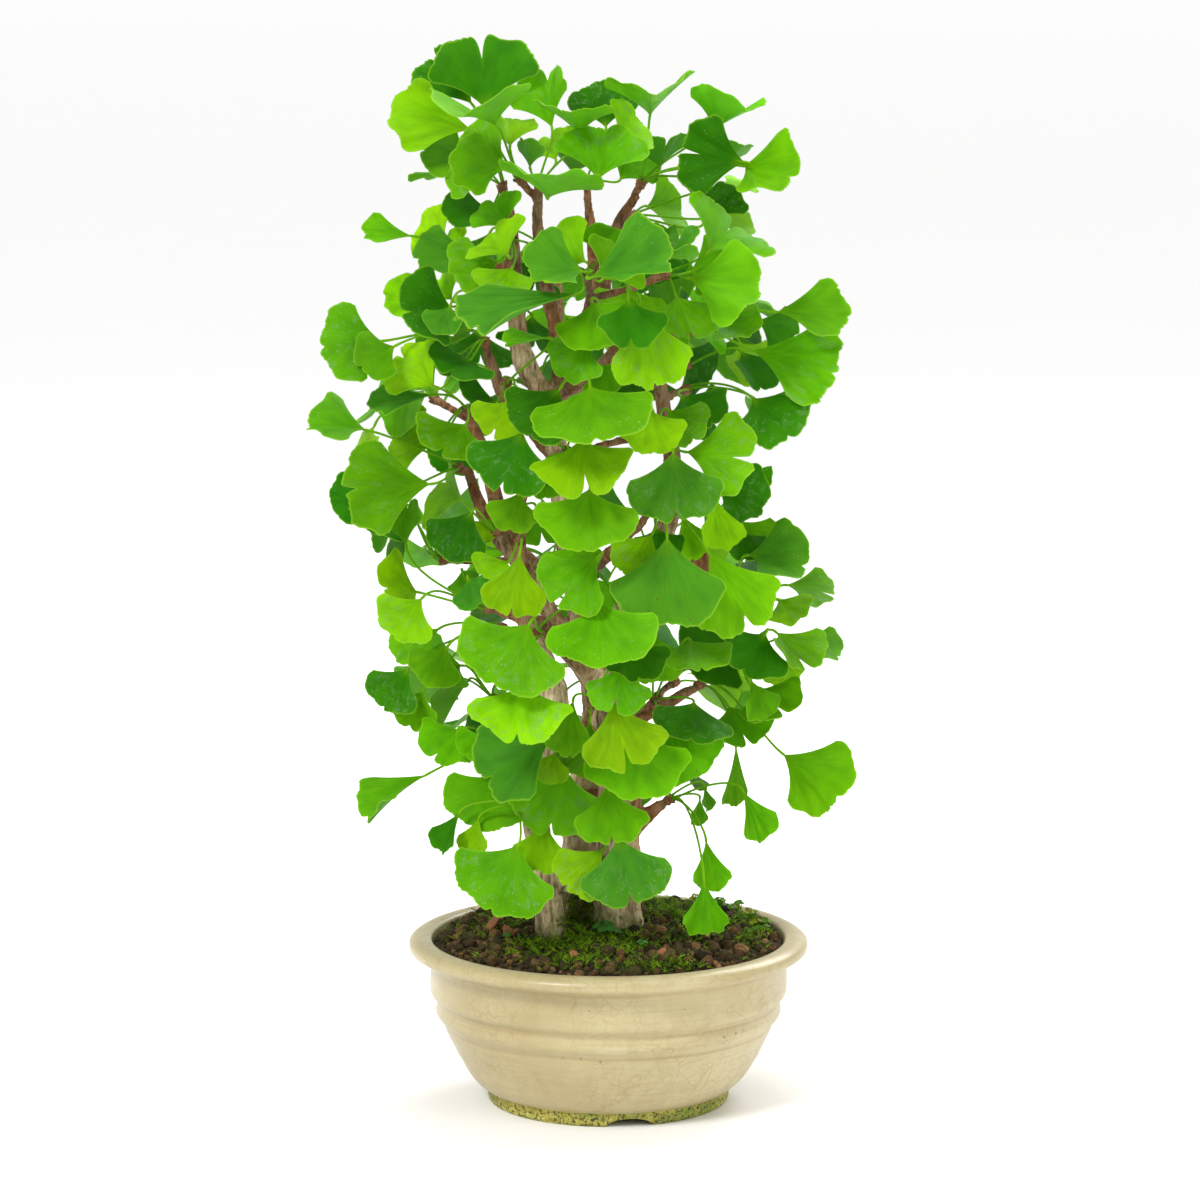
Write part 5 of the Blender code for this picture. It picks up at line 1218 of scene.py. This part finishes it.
# Pot: radius and height of its skin in millimetres, down the outside and up the inside
POT_SKIN = (
    (105.6, 96.5), (106.6, 99.2), (109.5, 100), (113, 100.1), (116.6, 99.2), (119.2, 97.4),
    (120, 95.4), (119.6, 93.2), (118, 91.6), (114.5, 90.2), (110.6, 89.2), (108.6, 87.4),
    (107.6, 84), (107.2, 78), (107.2, 72), (107.3, 67.8), (106.2, 65.2), (103.9, 63),
    (103.2, 61), (103.9, 57), (103.9, 54.4), (102.2, 51.4), (99.6, 48.8), (98.2, 45),
    (96.4, 40.4), (93.4, 34.4), (91.2, 29.6), (89, 26.2), (84.6, 18.6), (79.6, 12.6),
    (75.4, 9.4), (73.4, 8.2), (72.9, 6.6), (72.8, 4), (72.3, 1.2), (71.4, 0.2), (70.4, 0),
    (64.4, 0), (63.3, 0.5), (62.4, 2.5), (61.8, 5), (60.4, 7.4), (57, 8), (40, 8),
    (20, 8), (9.8, 8.1), (9, 8.8), (9, 14.2), (9.8, 15), (30, 15), (55, 15),
    (70, 15.2), (74.5, 17.4), (84, 30), (97.2, 50.4), (102, 70), (104.4, 84),
    (105, 91),
)
POT_ROUNDS = 240
# Foot: its arches' middles in degrees, their width and height, and the ring's radii
ARCHES = (-80.0, 40.0, 160.0)
ARCH_WIDTH, ARCH_HEIGHT, ARCH_CUT = 26.0, 5.0, 5.2
FOOT_RADIUS, FOOT_INSIDE, FOOT_OUTSIDE, FOOT_TOP = 67.5, 61.0, 73.0, 5.6
# Heights in metres of the grooves that are drawn darker
GROOVES = (0.0875, 0.0612, 0.0478)


def arch_height(radius, height, turn):
    """Height of a point of the foot, lifted where an arch opens it."""
    if FOOT_INSIDE * MM <= radius <= FOOT_OUTSIDE * MM and height < FOOT_TOP * MM:
        for arch in ARCHES:
            away = FOOT_RADIUS * math.sin(turn - math.radians(arch)) / (ARCH_WIDTH / 2)
            if abs(away) < 1.0 and math.cos(turn - math.radians(arch)) > 0:
                lift = ARCH_HEIGHT * math.sqrt(1.0 - away * away) * MM
                height = max(height, min(lift, ARCH_CUT * MM))
    return height


def build_pot():
    """Thrown stoneware with soft ridges that aren't quite level, on a foot with three arches."""
    skin = [(radius * MM, height * MM, 0.0, 0.0) for radius, height in POT_SKIN + POT_SKIN[:1]]
    profile = curve_through(skin, math.inf)[:-1]
    points = []
    for radius, height, _, _ in profile:
        outside = radius > 72.5 * MM and 9 * MM < height < 96 * MM
        for k in range(POT_ROUNDS):
            turn = math.tau * k / POT_ROUNDS
            x, y = math.cos(turn), math.sin(turn)
            r = radius
            if outside:
                r += noise.noise(Vector((x * 1.3, y * 1.3, height * 55))) * 0.45 * MM
                r += noise.noise(Vector((x, y, height * 170))) * 0.22 * MM
            z = arch_height(radius, height, turn)
            points.append((POT_AXIS.x + r * x, POT_AXIS.y + r * y, z))
    faces = flipped(grid_faces(len(profile), POT_ROUNDS, closed=True))
    last = (len(profile) - 1) * POT_ROUNDS
    for k in range(POT_ROUNDS):
        j = (k + 1) % POT_ROUNDS
        faces.append((k, j, last + j, last + k))
    piece = Cloth().add(points, faces).build("glazed_pot", (glaze_material(),), sharp=50)
    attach(piece, "root")
    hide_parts("pot")


def glaze_material():
    """Cream crackle glaze with brown-stained cracks, specks, and algae on the bare foot."""
    s = Shader("crackle_glaze", 0.34, 0.45)
    where = s.place()
    height = s.split(where)[2]
    patch = s.noise(where, 17.0, 3.0, 0.55)
    broad = s.noise(s.place((1.0, 1.0, 1.6)), 9.0, 3.0, 0.5)
    cloud = s.noise(s.place((1.0, 1.0, 0.45)), 120.0, 4.0, 0.6)
    colour = s.ramp(broad, (0.32, (0.42, 0.345, 0.172)), (0.52, (0.49, 0.415, 0.220)),
                    (0.72, (0.56, 0.492, 0.290)))
    colour = s.layer(colour, (0.37, 0.275, 0.125), cloud, (0.45, 0.0), (0.75, 0.42))
    # Wide cracks, and a fine web between them
    bent = s.mix(0.03, where, s.noise(where, 26.0, 3.0, 0.5, colour=True))
    cracks = s.cells(bent, 88.0, "DISTANCE_TO_EDGE")
    line = s.times(s.ramp(cracks, (0.0, 1.0), (0.035, 0.0)),
                   s.ramp(patch, (0.40, 0.0), (0.62, 0.52)))
    colour = s.mix(line, colour, (0.30, 0.19, 0.07))
    bent = s.mix(0.012, where, s.noise(where, 90.0, 3.0, 0.6, colour=True))
    small = s.cells(bent, 210.0, "DISTANCE_TO_EDGE")
    web = s.times(s.ramp(small, (0.0, 1.0), (0.05, 0.0)),
                  s.ramp(patch, (0.36, 0.0), (0.5, 0.34), (0.68, 0.1)))
    colour = s.mix(web, colour, (0.30, 0.21, 0.09))
    # Darker bands along the grooves, and throwing lines that aren't quite level
    lowered = s.math("SUBTRACT", height, 0.0018)
    uneven = s.math("MULTIPLY_ADD", s.noise(where, 14.0, 2.0, 0.5), 0.0036, lowered)
    for groove in GROOVES:
        near = s.ramp(s.away(uneven, groove, 0.0016), (0.0, 0.6), (1.0, 0.0))
        faint = s.times(near, s.ramp(patch, (0.3, 0.35), (0.6, 1.0)))
        colour = s.mix(faint, colour, (0.33, 0.225, 0.095))
    level = s.noise(s.place((0.5, 0.5, 9.0)), 55.0, 3.0, 0.6)
    colour = s.layer(colour, (0.37, 0.28, 0.13), level, (0.50, 0.0), (0.66, 0.30))
    speck = s.ramp(s.cells(where, 110.0), (0.06, 0.8), (0.10, 0.0))
    few = s.ramp(s.noise(where, 21.0, 2.0, 0.5), (0.50, 0.0), (0.58, 1.0))
    colour = s.mix(s.times(speck, few), colour, (0.16, 0.10, 0.05))
    stain = s.times(s.ramp(height, (0.010, 0.5), (0.026, 0.0)), s.noise(where, 40.0, 3.0, 0.6))
    colour = s.mix(stain, colour, (0.44, 0.32, 0.15))
    # Bare foot under a wavy edge
    wavy = s.math("MULTIPLY_ADD", s.noise(where, 60.0, 3.0, 0.6), 0.0030, height)
    foot = s.math("LESS_THAN", wavy, 0.0102)
    clay = s.noise(where, 300.0, 4.0, 0.7)
    bare = s.ramp(clay, (0.35, (0.20, 0.18, 0.02)), (0.5, (0.42, 0.38, 0.06)),
                  (0.65, (0.60, 0.52, 0.18)))
    green = s.noise(where, 38.0, 3.0, 0.6)
    bare = s.layer(bare, (0.16, 0.23, 0.018), green, (0.46, 0.0), (0.64, 0.75))
    grime = s.noise(where, 520.0, 3.0, 0.65)
    bare = s.layer(bare, (0.022, 0.02, 0.008), grime, (0.52, 0.0), (0.60, 0.9))
    colour = s.mix(foot, colour, bare)
    glossy = s.math("MULTIPLY_ADD", cloud, 0.16, 0.27)
    s.put(s.surface.inputs["Roughness"], s.math("MULTIPLY_ADD", foot, 0.45, glossy))
    s.surface.inputs["Coat Weight"].default_value = 0.12
    s.surface.inputs["Coat Roughness"].default_value = 0.25
    rough = s.times(s.noise(where, 420.0, 3.0, 0.6), s.math("MULTIPLY_ADD", foot, 1.4, 0.12))
    s.bump(s.plus(s.times(cloud, 0.25), rough), 0.4, 0.0009)
    return s.finish(colour)


# Soil: height in millimetres by distance from the pot's axis
SOIL_TOP = ((0.0, 108.0), (50.0, 105.6), (88.0, 101.0), (100.0, 97.6), (104.6, 95.2))
# Radii and heights of the rings under the soil's edge
SOIL_SIDE = ((104.4, 86.0), (100.0, 70.0))
SOIL_RINGS, SOIL_ROUNDS, SOIL_RADIUS = 44, 120, 104.8
# Moss: middle across and back, half width and half depth in millimetres, and strength
MOSS_PATCHES = (
    (-15.0, -58.0, 46.0, 36.0, 1.0), (40.0, 40.0, 24.0, 44.0, 0.9), (-66.0, 10.0, 26.0, 40.0, 0.45),
    (84.0, 0.0, 16.0, 54.0, 0.5), (-28.0, 60.0, 45.0, 26.0, 0.6), (10.0, -86.0, 60.0, 12.0, 0.8),
    (46.0, -34.0, 16.0, 22.0, 0.45),
)
# Where the trunks leave the soil: middle and radius in millimetres
TRUNK_FEET = ((-33.5, -32.0, 11.0), (6.0, -14.0, 19.0), (-15.0, -3.0, 14.0))


def soil_height(x, y):
    """Height in metres of the soil at a place in mm from the pot's axis."""
    away = math.hypot(x, y)
    level = SOIL_TOP[-1][1]
    for (near, high), (far, low) in zip(SOIL_TOP, SOIL_TOP[1:]):
        if near <= away <= far:
            level = high + (low - high) * (away - near) / (far - near)
    bumps = noise.fractal(Vector((x * 0.045, y * 0.045, 3.0)), 0.8, 2.0, 3) * 2.2
    return (level + bumps * min(1.0, (105.0 - away) / 25.0)) * MM


def soil_point(x, y, lift=0.0):
    return Vector((POT_AXIS.x + x * MM, POT_AXIS.y + y * MM, soil_height(x, y) + lift * MM))


def mossy(x, y):
    """How mossy the soil is at a place, from 0 to 1."""
    best = 0.0
    for middle_x, middle_y, wide, deep, strength in MOSS_PATCHES:
        away = math.hypot((x - middle_x) / wide, (y - middle_y) / deep)
        ragged = 1.0 + 0.45 * noise.noise(Vector((x * 0.08, y * 0.08, 9.0)))
        best = max(best, strength * min(1.0, max(0.0, (ragged - away) * 2.5)))
    return best


def in_trunk(x, y, grow=0.0):
    return any(math.hypot(x - a, y - b) < r + grow for a, b, r in TRUNK_FEET)


def build_soil():
    """Bed of soil: its lumpy top and the rings below its edge."""
    turns = [math.tau * k / SOIL_ROUNDS for k in range(SOIL_ROUNDS)]
    rings = [0.4] + [SOIL_RADIUS * (i / SOIL_RINGS) ** 0.8 for i in range(1, SOIL_RINGS + 1)]
    points = []
    for away in rings:
        for turn in turns:
            x, y = away * math.cos(turn), away * math.sin(turn)
            crumb = noise.fractal(Vector((x * 0.35, y * 0.35, 1.0)), 0.7, 2.0, 3) * 0.9
            points.append(soil_point(x, y, crumb))
    for away, height in SOIL_SIDE:
        for turn in turns:
            place = Vector((away * math.cos(turn), away * math.sin(turn), height))
            points.append(POT_AXIS + place * MM)
    faces = flipped(capped_faces(len(rings) + len(SOIL_SIDE), SOIL_ROUNDS))
    piece = Cloth().add(points, faces).build("soil_bed", (earth_material(),))
    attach(piece, "root")
    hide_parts("soil")


def earth_material():
    s = Shader("earth", 0.95, 0.2)
    lump = s.noise(s.place(), 240.0, 5.0, 0.7)
    patch = s.noise(s.place(), 45.0, 3.0, 0.6)
    colour = s.ramp(lump, (0.34, (0.012, 0.008, 0.004)), (0.55, (0.055, 0.034, 0.017)),
                    (0.72, (0.13, 0.080, 0.040)))
    s.bump(lump, 1.0, 0.0015)
    return s.finish(s.layer(colour, (0.035, 0.055, 0.010), patch, (0.5, 0.0), (0.66, 0.7)))


def crumb_material():
    """Grains of soil, each of its own colour, with dust in their hollows."""
    s = Shader("soil_grains", 0.92, 0.2)
    tone = s.attribute("tone", "Color")
    grain = s.noise(s.place(), 700.0, 4.0, 0.65)
    dark, light = s.tint(tone, (0.45, 0.42, 0.4)), s.tint(tone, (1.5, 1.45, 1.35))
    colour = s.layer(dark, light, grain, (0.32, 0.0), (0.72, 1.0))
    green = s.noise(s.place(), 75.0, 3.0, 0.6)
    s.bump(grain, 0.9, 0.0009)
    return s.finish(s.layer(colour, (0.040, 0.065, 0.012), green, (0.52, 0.0), (0.66, 0.55)))


def ball(subdivisions):
    """Points and faces of a ball of radius 1."""
    work = bmesh.new()
    bmesh.ops.create_icosphere(work, subdivisions=subdivisions, radius=1.0)
    points = np.array([vertex.co for vertex in work.verts])
    faces = [tuple(vertex.index for vertex in face.verts) for face in work.faces]
    work.free()
    return points, faces


# Grains: subdivisions, how many, and the smallest and largest radius in millimetres
GRAINS = ((2, 620, 2.1, 4.0), (1, 2600, 1.0, 2.2))
GRAIN_TONES = (
    (0.024, 0.017, 0.007), (0.040, 0.027, 0.010), (0.060, 0.040, 0.016), (0.042, 0.036, 0.011),
    (0.092, 0.057, 0.022), (0.14, 0.080, 0.030),
)
RED_TONES = ((0.15, 0.066, 0.024), (0.22, 0.125, 0.055), (0.12, 0.058, 0.022), (0.09, 0.050, 0.020))
STALK_MARK = (0.0, -0.5, 1.2)


def any_way(draw):
    return Vector([draw.gauss(0, 1) for _ in range(3)])


def build_grains():
    """Crumbs of soil lying on the bed, the larger ones first."""
    draw = random.Random(21)
    cloth = Cloth()
    for subdivisions, count, smallest, largest in GRAINS:
        base, faces = ball(subdivisions)
        placed = 0
        while placed < count:
            x, y = draw.uniform(-103, 103), draw.uniform(-103, 103)
            size = draw.uniform(smallest, largest) * (0.8 + 0.4 * draw.random())
            if math.hypot(x, y) > 104 - size or in_trunk(x, y, -1.0):
                continue
            if draw.random() < 0.75 * mossy(x, y):
                continue
            placed += 1
            turn = Matrix.Rotation(draw.uniform(0, 6), 3, any_way(draw))
            here = Vector((x, y, 0.0))
            lumps = [1.0 + 0.34 * noise.noise(Vector(p) * 1.1 + here) for p in base]
            stretch = np.array([draw.uniform(0.75, 1.15) for _ in range(3)])
            points = (base * np.array(lumps)[:, None] * stretch) @ np.array(turn) * size * MM
            points += np.array(soil_point(x, y, size * draw.uniform(0.0, 0.55)))
            red = draw.random() < (0.22 if x > 25 and y < 45 else 0.05)
            tones = RED_TONES if red else GRAIN_TONES
            tone = np.array(draw.choice(tones)) * draw.uniform(0.8, 1.25)
            cloth.add(points, faces, tone=tone)
    piece = cloth.build("soil_grains", (crumb_material(),))
    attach(piece, "root")


SPIKE_FACES = ((0, 1, 2), (1, 3, 2), (0, 3, 1), (0, 2, 3))
LEAFLET_PAIRS = 4
MOSS_FRONDS = 3100
MOST_TRUNK_FRONDS = 900
# Heights in metres between which moss grows on the wood
TRUNK_MOSS = (0.099, 0.165)


def spike_points(base, tip, width, lift):
    """Four points of a splinter from a base to a tip."""
    ahead = tip - base
    side = ahead.cross(UP)
    side = side.normalized() if side.length > 1e-9 else Vector((1.0, 0.0, 0.0))
    over = side.cross(ahead).normalized()
    middle = base.lerp(tip, 0.4) + over * lift
    return [base, middle + side * width, middle - side * width, tip]


def add_frond(cloth, base, up, length, tone, draw):
    """Feathery moss shoot: a bent stem with leaflets to both sides."""
    lean = any_way(draw)
    lean = (lean - lean.dot(up) * up).normalized()
    side = up.cross(lean)
    reach = length * draw.uniform(0.75, 1.2)
    spots = []
    for i in range(LEAFLET_PAIRS + 1):
        t = i / LEAFLET_PAIRS
        rise, drift = 0.9 * t - 0.35 * t * t, 0.25 * t + 0.55 * t * t
        spots.append(base + up * reach * rise + lean * reach * drift)
    points = spike_points(spots[0], spots[-1], 0.22 * MM, reach * 0.06)
    for i in range(1, LEAFLET_PAIRS + 1):
        size = reach * (0.42 - 0.07 * i)
        for hand in (-1.0, 1.0):
            out = side * hand + lean * 0.6 + up * draw.uniform(0.0, 0.4)
            tip = spots[i] + out.normalized() * size
            points += spike_points(spots[i], tip, 0.36 * MM, 0.1 * MM)
    faces = [tuple(i + first for i in face)
             for first in range(0, len(points), 4) for face in SPIKE_FACES]
    shade = draw.uniform(0.6, 1.35)
    cloth.add(points, faces, (0.0, 0.0, draw.random()), tuple(v * shade for v in tone))


def moss_material():
    s = Shader("moss", 0.8, 0.25)
    light = s.ramp(s.noise(s.place(), 130.0, 3.0, 0.6), (0.35, (0.55, 0.6, 0.7)),
                   (0.7, (1.5, 1.3, 1.0)))
    return s.finish(s.tint(s.attribute("tone", "Color"), light), 0.22, (1.6, 1.3, 0.8))


def mossy_faces(bark, draw):
    """Faces of the wood that moss takes: in the hollow, on the right flank and at the foot."""
    taken = []
    for polygon in bark.data.polygons:
        middle = polygon.center
        if not TRUNK_MOSS[0] < middle.z < TRUNK_MOSS[1]:
            continue
        x, y = (middle.x - POT_AXIS.x) / MM, (middle.y - POT_AXIS.y) / MM
        height = (middle.z - 0.100) / MM
        hollow = math.exp(-((x + 17.0) / 12.0) ** 2) * (1.0 if y < -6 else 0.2)
        flank = math.exp(-((x - 26.0) / 7.0) ** 2)
        chance = max(hollow * math.exp(-height / 55.0), flank * math.exp(-height / 20.0),
                     0.55 * math.exp(-height / 5.0))
        if noise.noise(middle * 110.0) > 0.45 - 1.2 * chance and draw.random() < chance:
            taken.append(polygon)
    return taken


def build_moss(bark):
    """Moss on the soil, and darker moss up the hollow between the trunks."""
    draw = random.Random(33)
    cloth = Cloth()
    placed = 0
    while placed < MOSS_FRONDS:
        x, y = draw.uniform(-101, 101), draw.uniform(-101, 101)
        if math.hypot(x, y) > 101 or in_trunk(x, y, 0.5):
            continue
        if draw.random() > mossy(x, y) + 0.05:
            continue
        placed += 1
        up = Vector((draw.uniform(-0.35, 0.35), draw.uniform(-0.35, 0.35), 1.0)).normalized()
        tone = (0.28, 0.55, 0.004) if draw.random() < 0.60 else (0.07, 0.14, 0.004)
        base = soil_point(x, y, draw.uniform(-0.6, 2.2))
        add_frond(cloth, base, up, draw.uniform(4.0, 7.5) * MM, tone, draw)
    faces = mossy_faces(bark, draw)
    for polygon in draw.sample(faces, min(len(faces), MOST_TRUNK_FRONDS)):
        up = (polygon.normal * 0.8 + UP * 0.35).normalized()
        tone = (0.11, 0.18, 0.005) if draw.random() < 0.6 else (0.22, 0.38, 0.006)
        add_frond(cloth, polygon.center, up, draw.uniform(3.0, 5.6) * MM, tone, draw)
    piece = cloth.build("moss", (moss_material(),))
    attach(piece, "root")


# Seedlings by the trunks: place and size of their leaves in millimetres
SEEDLINGS = ((-3.0, -37.0, 3.6), (2.5, -44.0, 3.0), (20.0, -60.0, 2.0), (-60.0, -40.0, 1.8))
RIM_SEEDLINGS = 34
# Fallen bud scales: place in millimetres, heading in radians and size
FALLEN_SCALES = (
    (-72.0, -16.0, 0.5, 3.4), (-58.0, -34.0, 2.2, 2.8), (-66.0, 4.0, 1.2, 2.2),
    (60.0, -40.0, 2.9, 2.2), (30.0, -76.0, 0.9, 2.0), (-20.0, -80.0, 1.9, 1.8),
)
# A dry stalk: its knots from its foot, and radii, in millimetres
DRY_STALK = (((0, 0, 0), 0.25), ((1, 0, 9), 0.22), ((1, -1, 17), 0.18), ((-1, -1, 24), 0.08))
# Rows of a round leaf: share of its size, and how far it cups
ROUND_ROWS = ((0.0, 0.0), (0.55, 0.03), (0.92, 0.12), (1.0, 0.16))
ROUND_SIDES = 12


def add_round_leaf(cloth, middle, up, size, tone, draw):
    """Small thick leaf with a shallow cup, for a seedling."""
    side = up.orthogonal().normalized()
    over = up.cross(side)
    rows = []
    for reach, lift in ROUND_ROWS:
        for k in range(ROUND_SIDES):
            turn = math.tau * k / ROUND_SIDES
            out = side * math.cos(turn) + over * math.sin(turn) * 0.86
            rows.append(middle + out * size * reach + up * size * lift)
    front = flipped(grid_faces(len(ROUND_ROWS), ROUND_SIDES, closed=True))
    front.append(tuple(range(ROUND_SIDES)))
    faces = shell_faces(front, range(len(rows))[-ROUND_SIDES:], len(rows))
    rows += [point - up * 0.35 * MM for point in rows]
    cloth.add(rows, faces, (0.0, 0.4, 0.3 + 0.1 * draw.random()), tone)


def add_seedling(cloth, x, y, height, size, count, draw, tone=(0.055, 0.20, 0.03)):
    """Seedling: a few small leaves on thin stems."""
    for k in range(count):
        turn = math.tau * (k + draw.uniform(-0.25, 0.25)) / count
        ahead, over = math.cos(turn), math.sin(turn)
        base = soil_point(x, y)
        top = base + Vector((ahead * size * 0.9, over * size * 0.9,
                             height * draw.uniform(0.75, 1.1))) * MM
        middle = base.lerp(top, 0.5) + Vector((0.0, 0.0, 0.8 * MM))
        points, faces = tube([base, middle, top], [0.35 * MM, 0.3 * MM, 0.25 * MM], 5)
        cloth.add(points, faces, STALK_MARK, tone)
        up = Vector((ahead * 0.45, over * 0.45 - 0.2, 1.0)).normalized()
        shade = draw.uniform(0.8, 1.25)
        shaded = tuple(value * shade for value in tone)
        add_round_leaf(cloth, top, up, size * draw.uniform(0.75, 1.1) * MM, shaded, draw)


def build_seedlings(materials):
    """Seedlings by the trunks and along the rim, dropped bud scales and a dry stalk."""
    draw = random.Random(8)
    cloth = Cloth()
    for x, y, size in SEEDLINGS:
        add_seedling(cloth, x, y, 7.0, size, 4, draw)
    for _ in range(RIM_SEEDLINGS):
        turn = math.radians(draw.uniform(-18, 62))
        away = draw.uniform(84, 100)
        x, y = away * math.cos(turn), away * math.sin(turn)
        tone = (0.10, 0.26, 0.02) if draw.random() < 0.7 else (0.30, 0.34, 0.03)
        height, size, count = draw.uniform(3, 9), draw.uniform(1.2, 2.3), draw.choice((2, 3, 4))
        add_seedling(cloth, x, y, height, size, count, draw, tone)
    for x, y, turn, size in FALLEN_SCALES:
        way = Vector((math.cos(turn), math.sin(turn), 0.25)).normalized()
        add_scale(cloth, soil_point(x, y, 4.5), way, UP, draw, size)
    base = soil_point(70.0, 60.0)
    path = [base + Vector(knot) * MM for knot, _ in DRY_STALK]
    points, faces = tube(path, [radius * MM for _, radius in DRY_STALK], 5)
    cloth.add(points, faces, STALK_MARK, (0.2, 0.3, 0.05))
    piece = cloth.build("seedlings", materials, sharp=60)
    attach(piece, "root")


# Floor: radii and heights of its rings in metres
FLOOR_RINGS = ((1.0, 0.0), (3.0, 0.0), (9.0, 0.0), (30.0, 0.0), (60.0, 4.0), (90.0, 16.0))
FLOOR_SIDES = 48
PAPER = ((0.942, 0.942, 0.937), (0.954, 0.954, 0.949))
SKY_STRENGTH = 0.56
SUN_POWER, SUN_SPREAD, SUN_WAY = 2.1, math.radians(16), (1.5, 2.0, -2.3)
# Soft lights: place, the height of the axis that they face, diameter and power
LIGHTS = {
    "fill": ((1.9, -1.6, 1.2), 0.3, 1.6, 16.0),
    "top": ((0.1, 0.3, 2.4), 0.2, 1.4, 24.0),
    "back": ((0.9, 1.5, 1.6), 0.35, 1.2, 24.0),
}
SENSOR = 36.0


def turned(way):
    """Rotation of a light that shines in a direction."""
    return Vector(way).to_track_quat("-Z", "Y").to_euler()


def build_floor():
    """Pale paper that reaches past the frame and rises far off."""
    points = [(0.0, 0.0, 0.0)]
    for ring, rise in FLOOR_RINGS:
        for turn in np.arange(FLOOR_SIDES) * math.tau / FLOOR_SIDES:
            points.append((ring * math.cos(turn), ring * math.sin(turn), rise))
    faces = [(0, k + 1, (k + 1) % FLOOR_SIDES + 1) for k in range(FLOOR_SIDES)]
    faces += flipped(grid_faces(len(FLOOR_RINGS), FLOOR_SIDES, closed=True), 1)
    s = Shader("studio_paper", 0.9, 0.1)
    paper = s.finish(s.mix(s.noise(s.place(), 3.0, 2.0, 0.5), *PAPER))
    floor = Cloth().add(points, faces).build("floor", (paper,))


def build_lights():
    world = bpy.data.worlds.new("studio")
    world.use_nodes = True
    sky = world.node_tree.nodes["Background"]
    sky.inputs[0].default_value = (1.0, 1.0, 1.0, 1.0)
    sky.inputs[1].default_value = SKY_STRENGTH
    bpy.context.scene.world = world
    sun = bpy.data.lights.new("key", "SUN")
    sun.energy = SUN_POWER
    sun.angle = SUN_SPREAD
    stand("key", sun).rotation_euler = turned(SUN_WAY)
    for name, (place, aim, size, power) in LIGHTS.items():
        data = bpy.data.lights.new(name, "AREA")
        data.shape = "DISK"
        data.size = size
        data.energy = power
        light = stand(name, data)
        light.location = place
        light.rotation_euler = turned(UP * aim - Vector(place))


def build_camera():
    """Camera that sees the tree as the tables were read."""
    camera = bpy.data.cameras.new("camera")
    camera.sensor_width = SENSOR
    camera.lens = VIEW_FOCAL / (2 * VIEW_MIDDLE) * SENSOR
    eye = stand("camera", camera)
    eye.location = VIEW_POINT + POT_AXIS
    eye.rotation_euler = (math.radians(90) - VIEW_DOWN, 0.0, 0.0)
    bpy.context.scene.camera = eye
    bpy.context.scene.view_settings.view_transform = "Standard"


def main():
    tips = [at_pixel(*tuft[:3]) for tuft in FRONT_TUFTS]
    tips += [at_pixel(*tip) for tip in BACK_TIPS]
    samples = limb_samples(limb_paths())
    starts = [spur_start(tip, samples) for tip in tips]
    ways = [(tip - start).normalized() for tip, start in zip(tips, starts)]
    build_floor()
    build_lights()
    build_camera()
    build_whorls(tips, ways, find_leaves(tips, ways))
    bark = build_bark(tips, starts)
    build_pot()
    build_soil()
    build_grains()
    build_moss(bark)
    build_seedlings(tuple(bpy.data.materials[name] for name in ("ginkgo_leaf", "bud_scales")))


main()
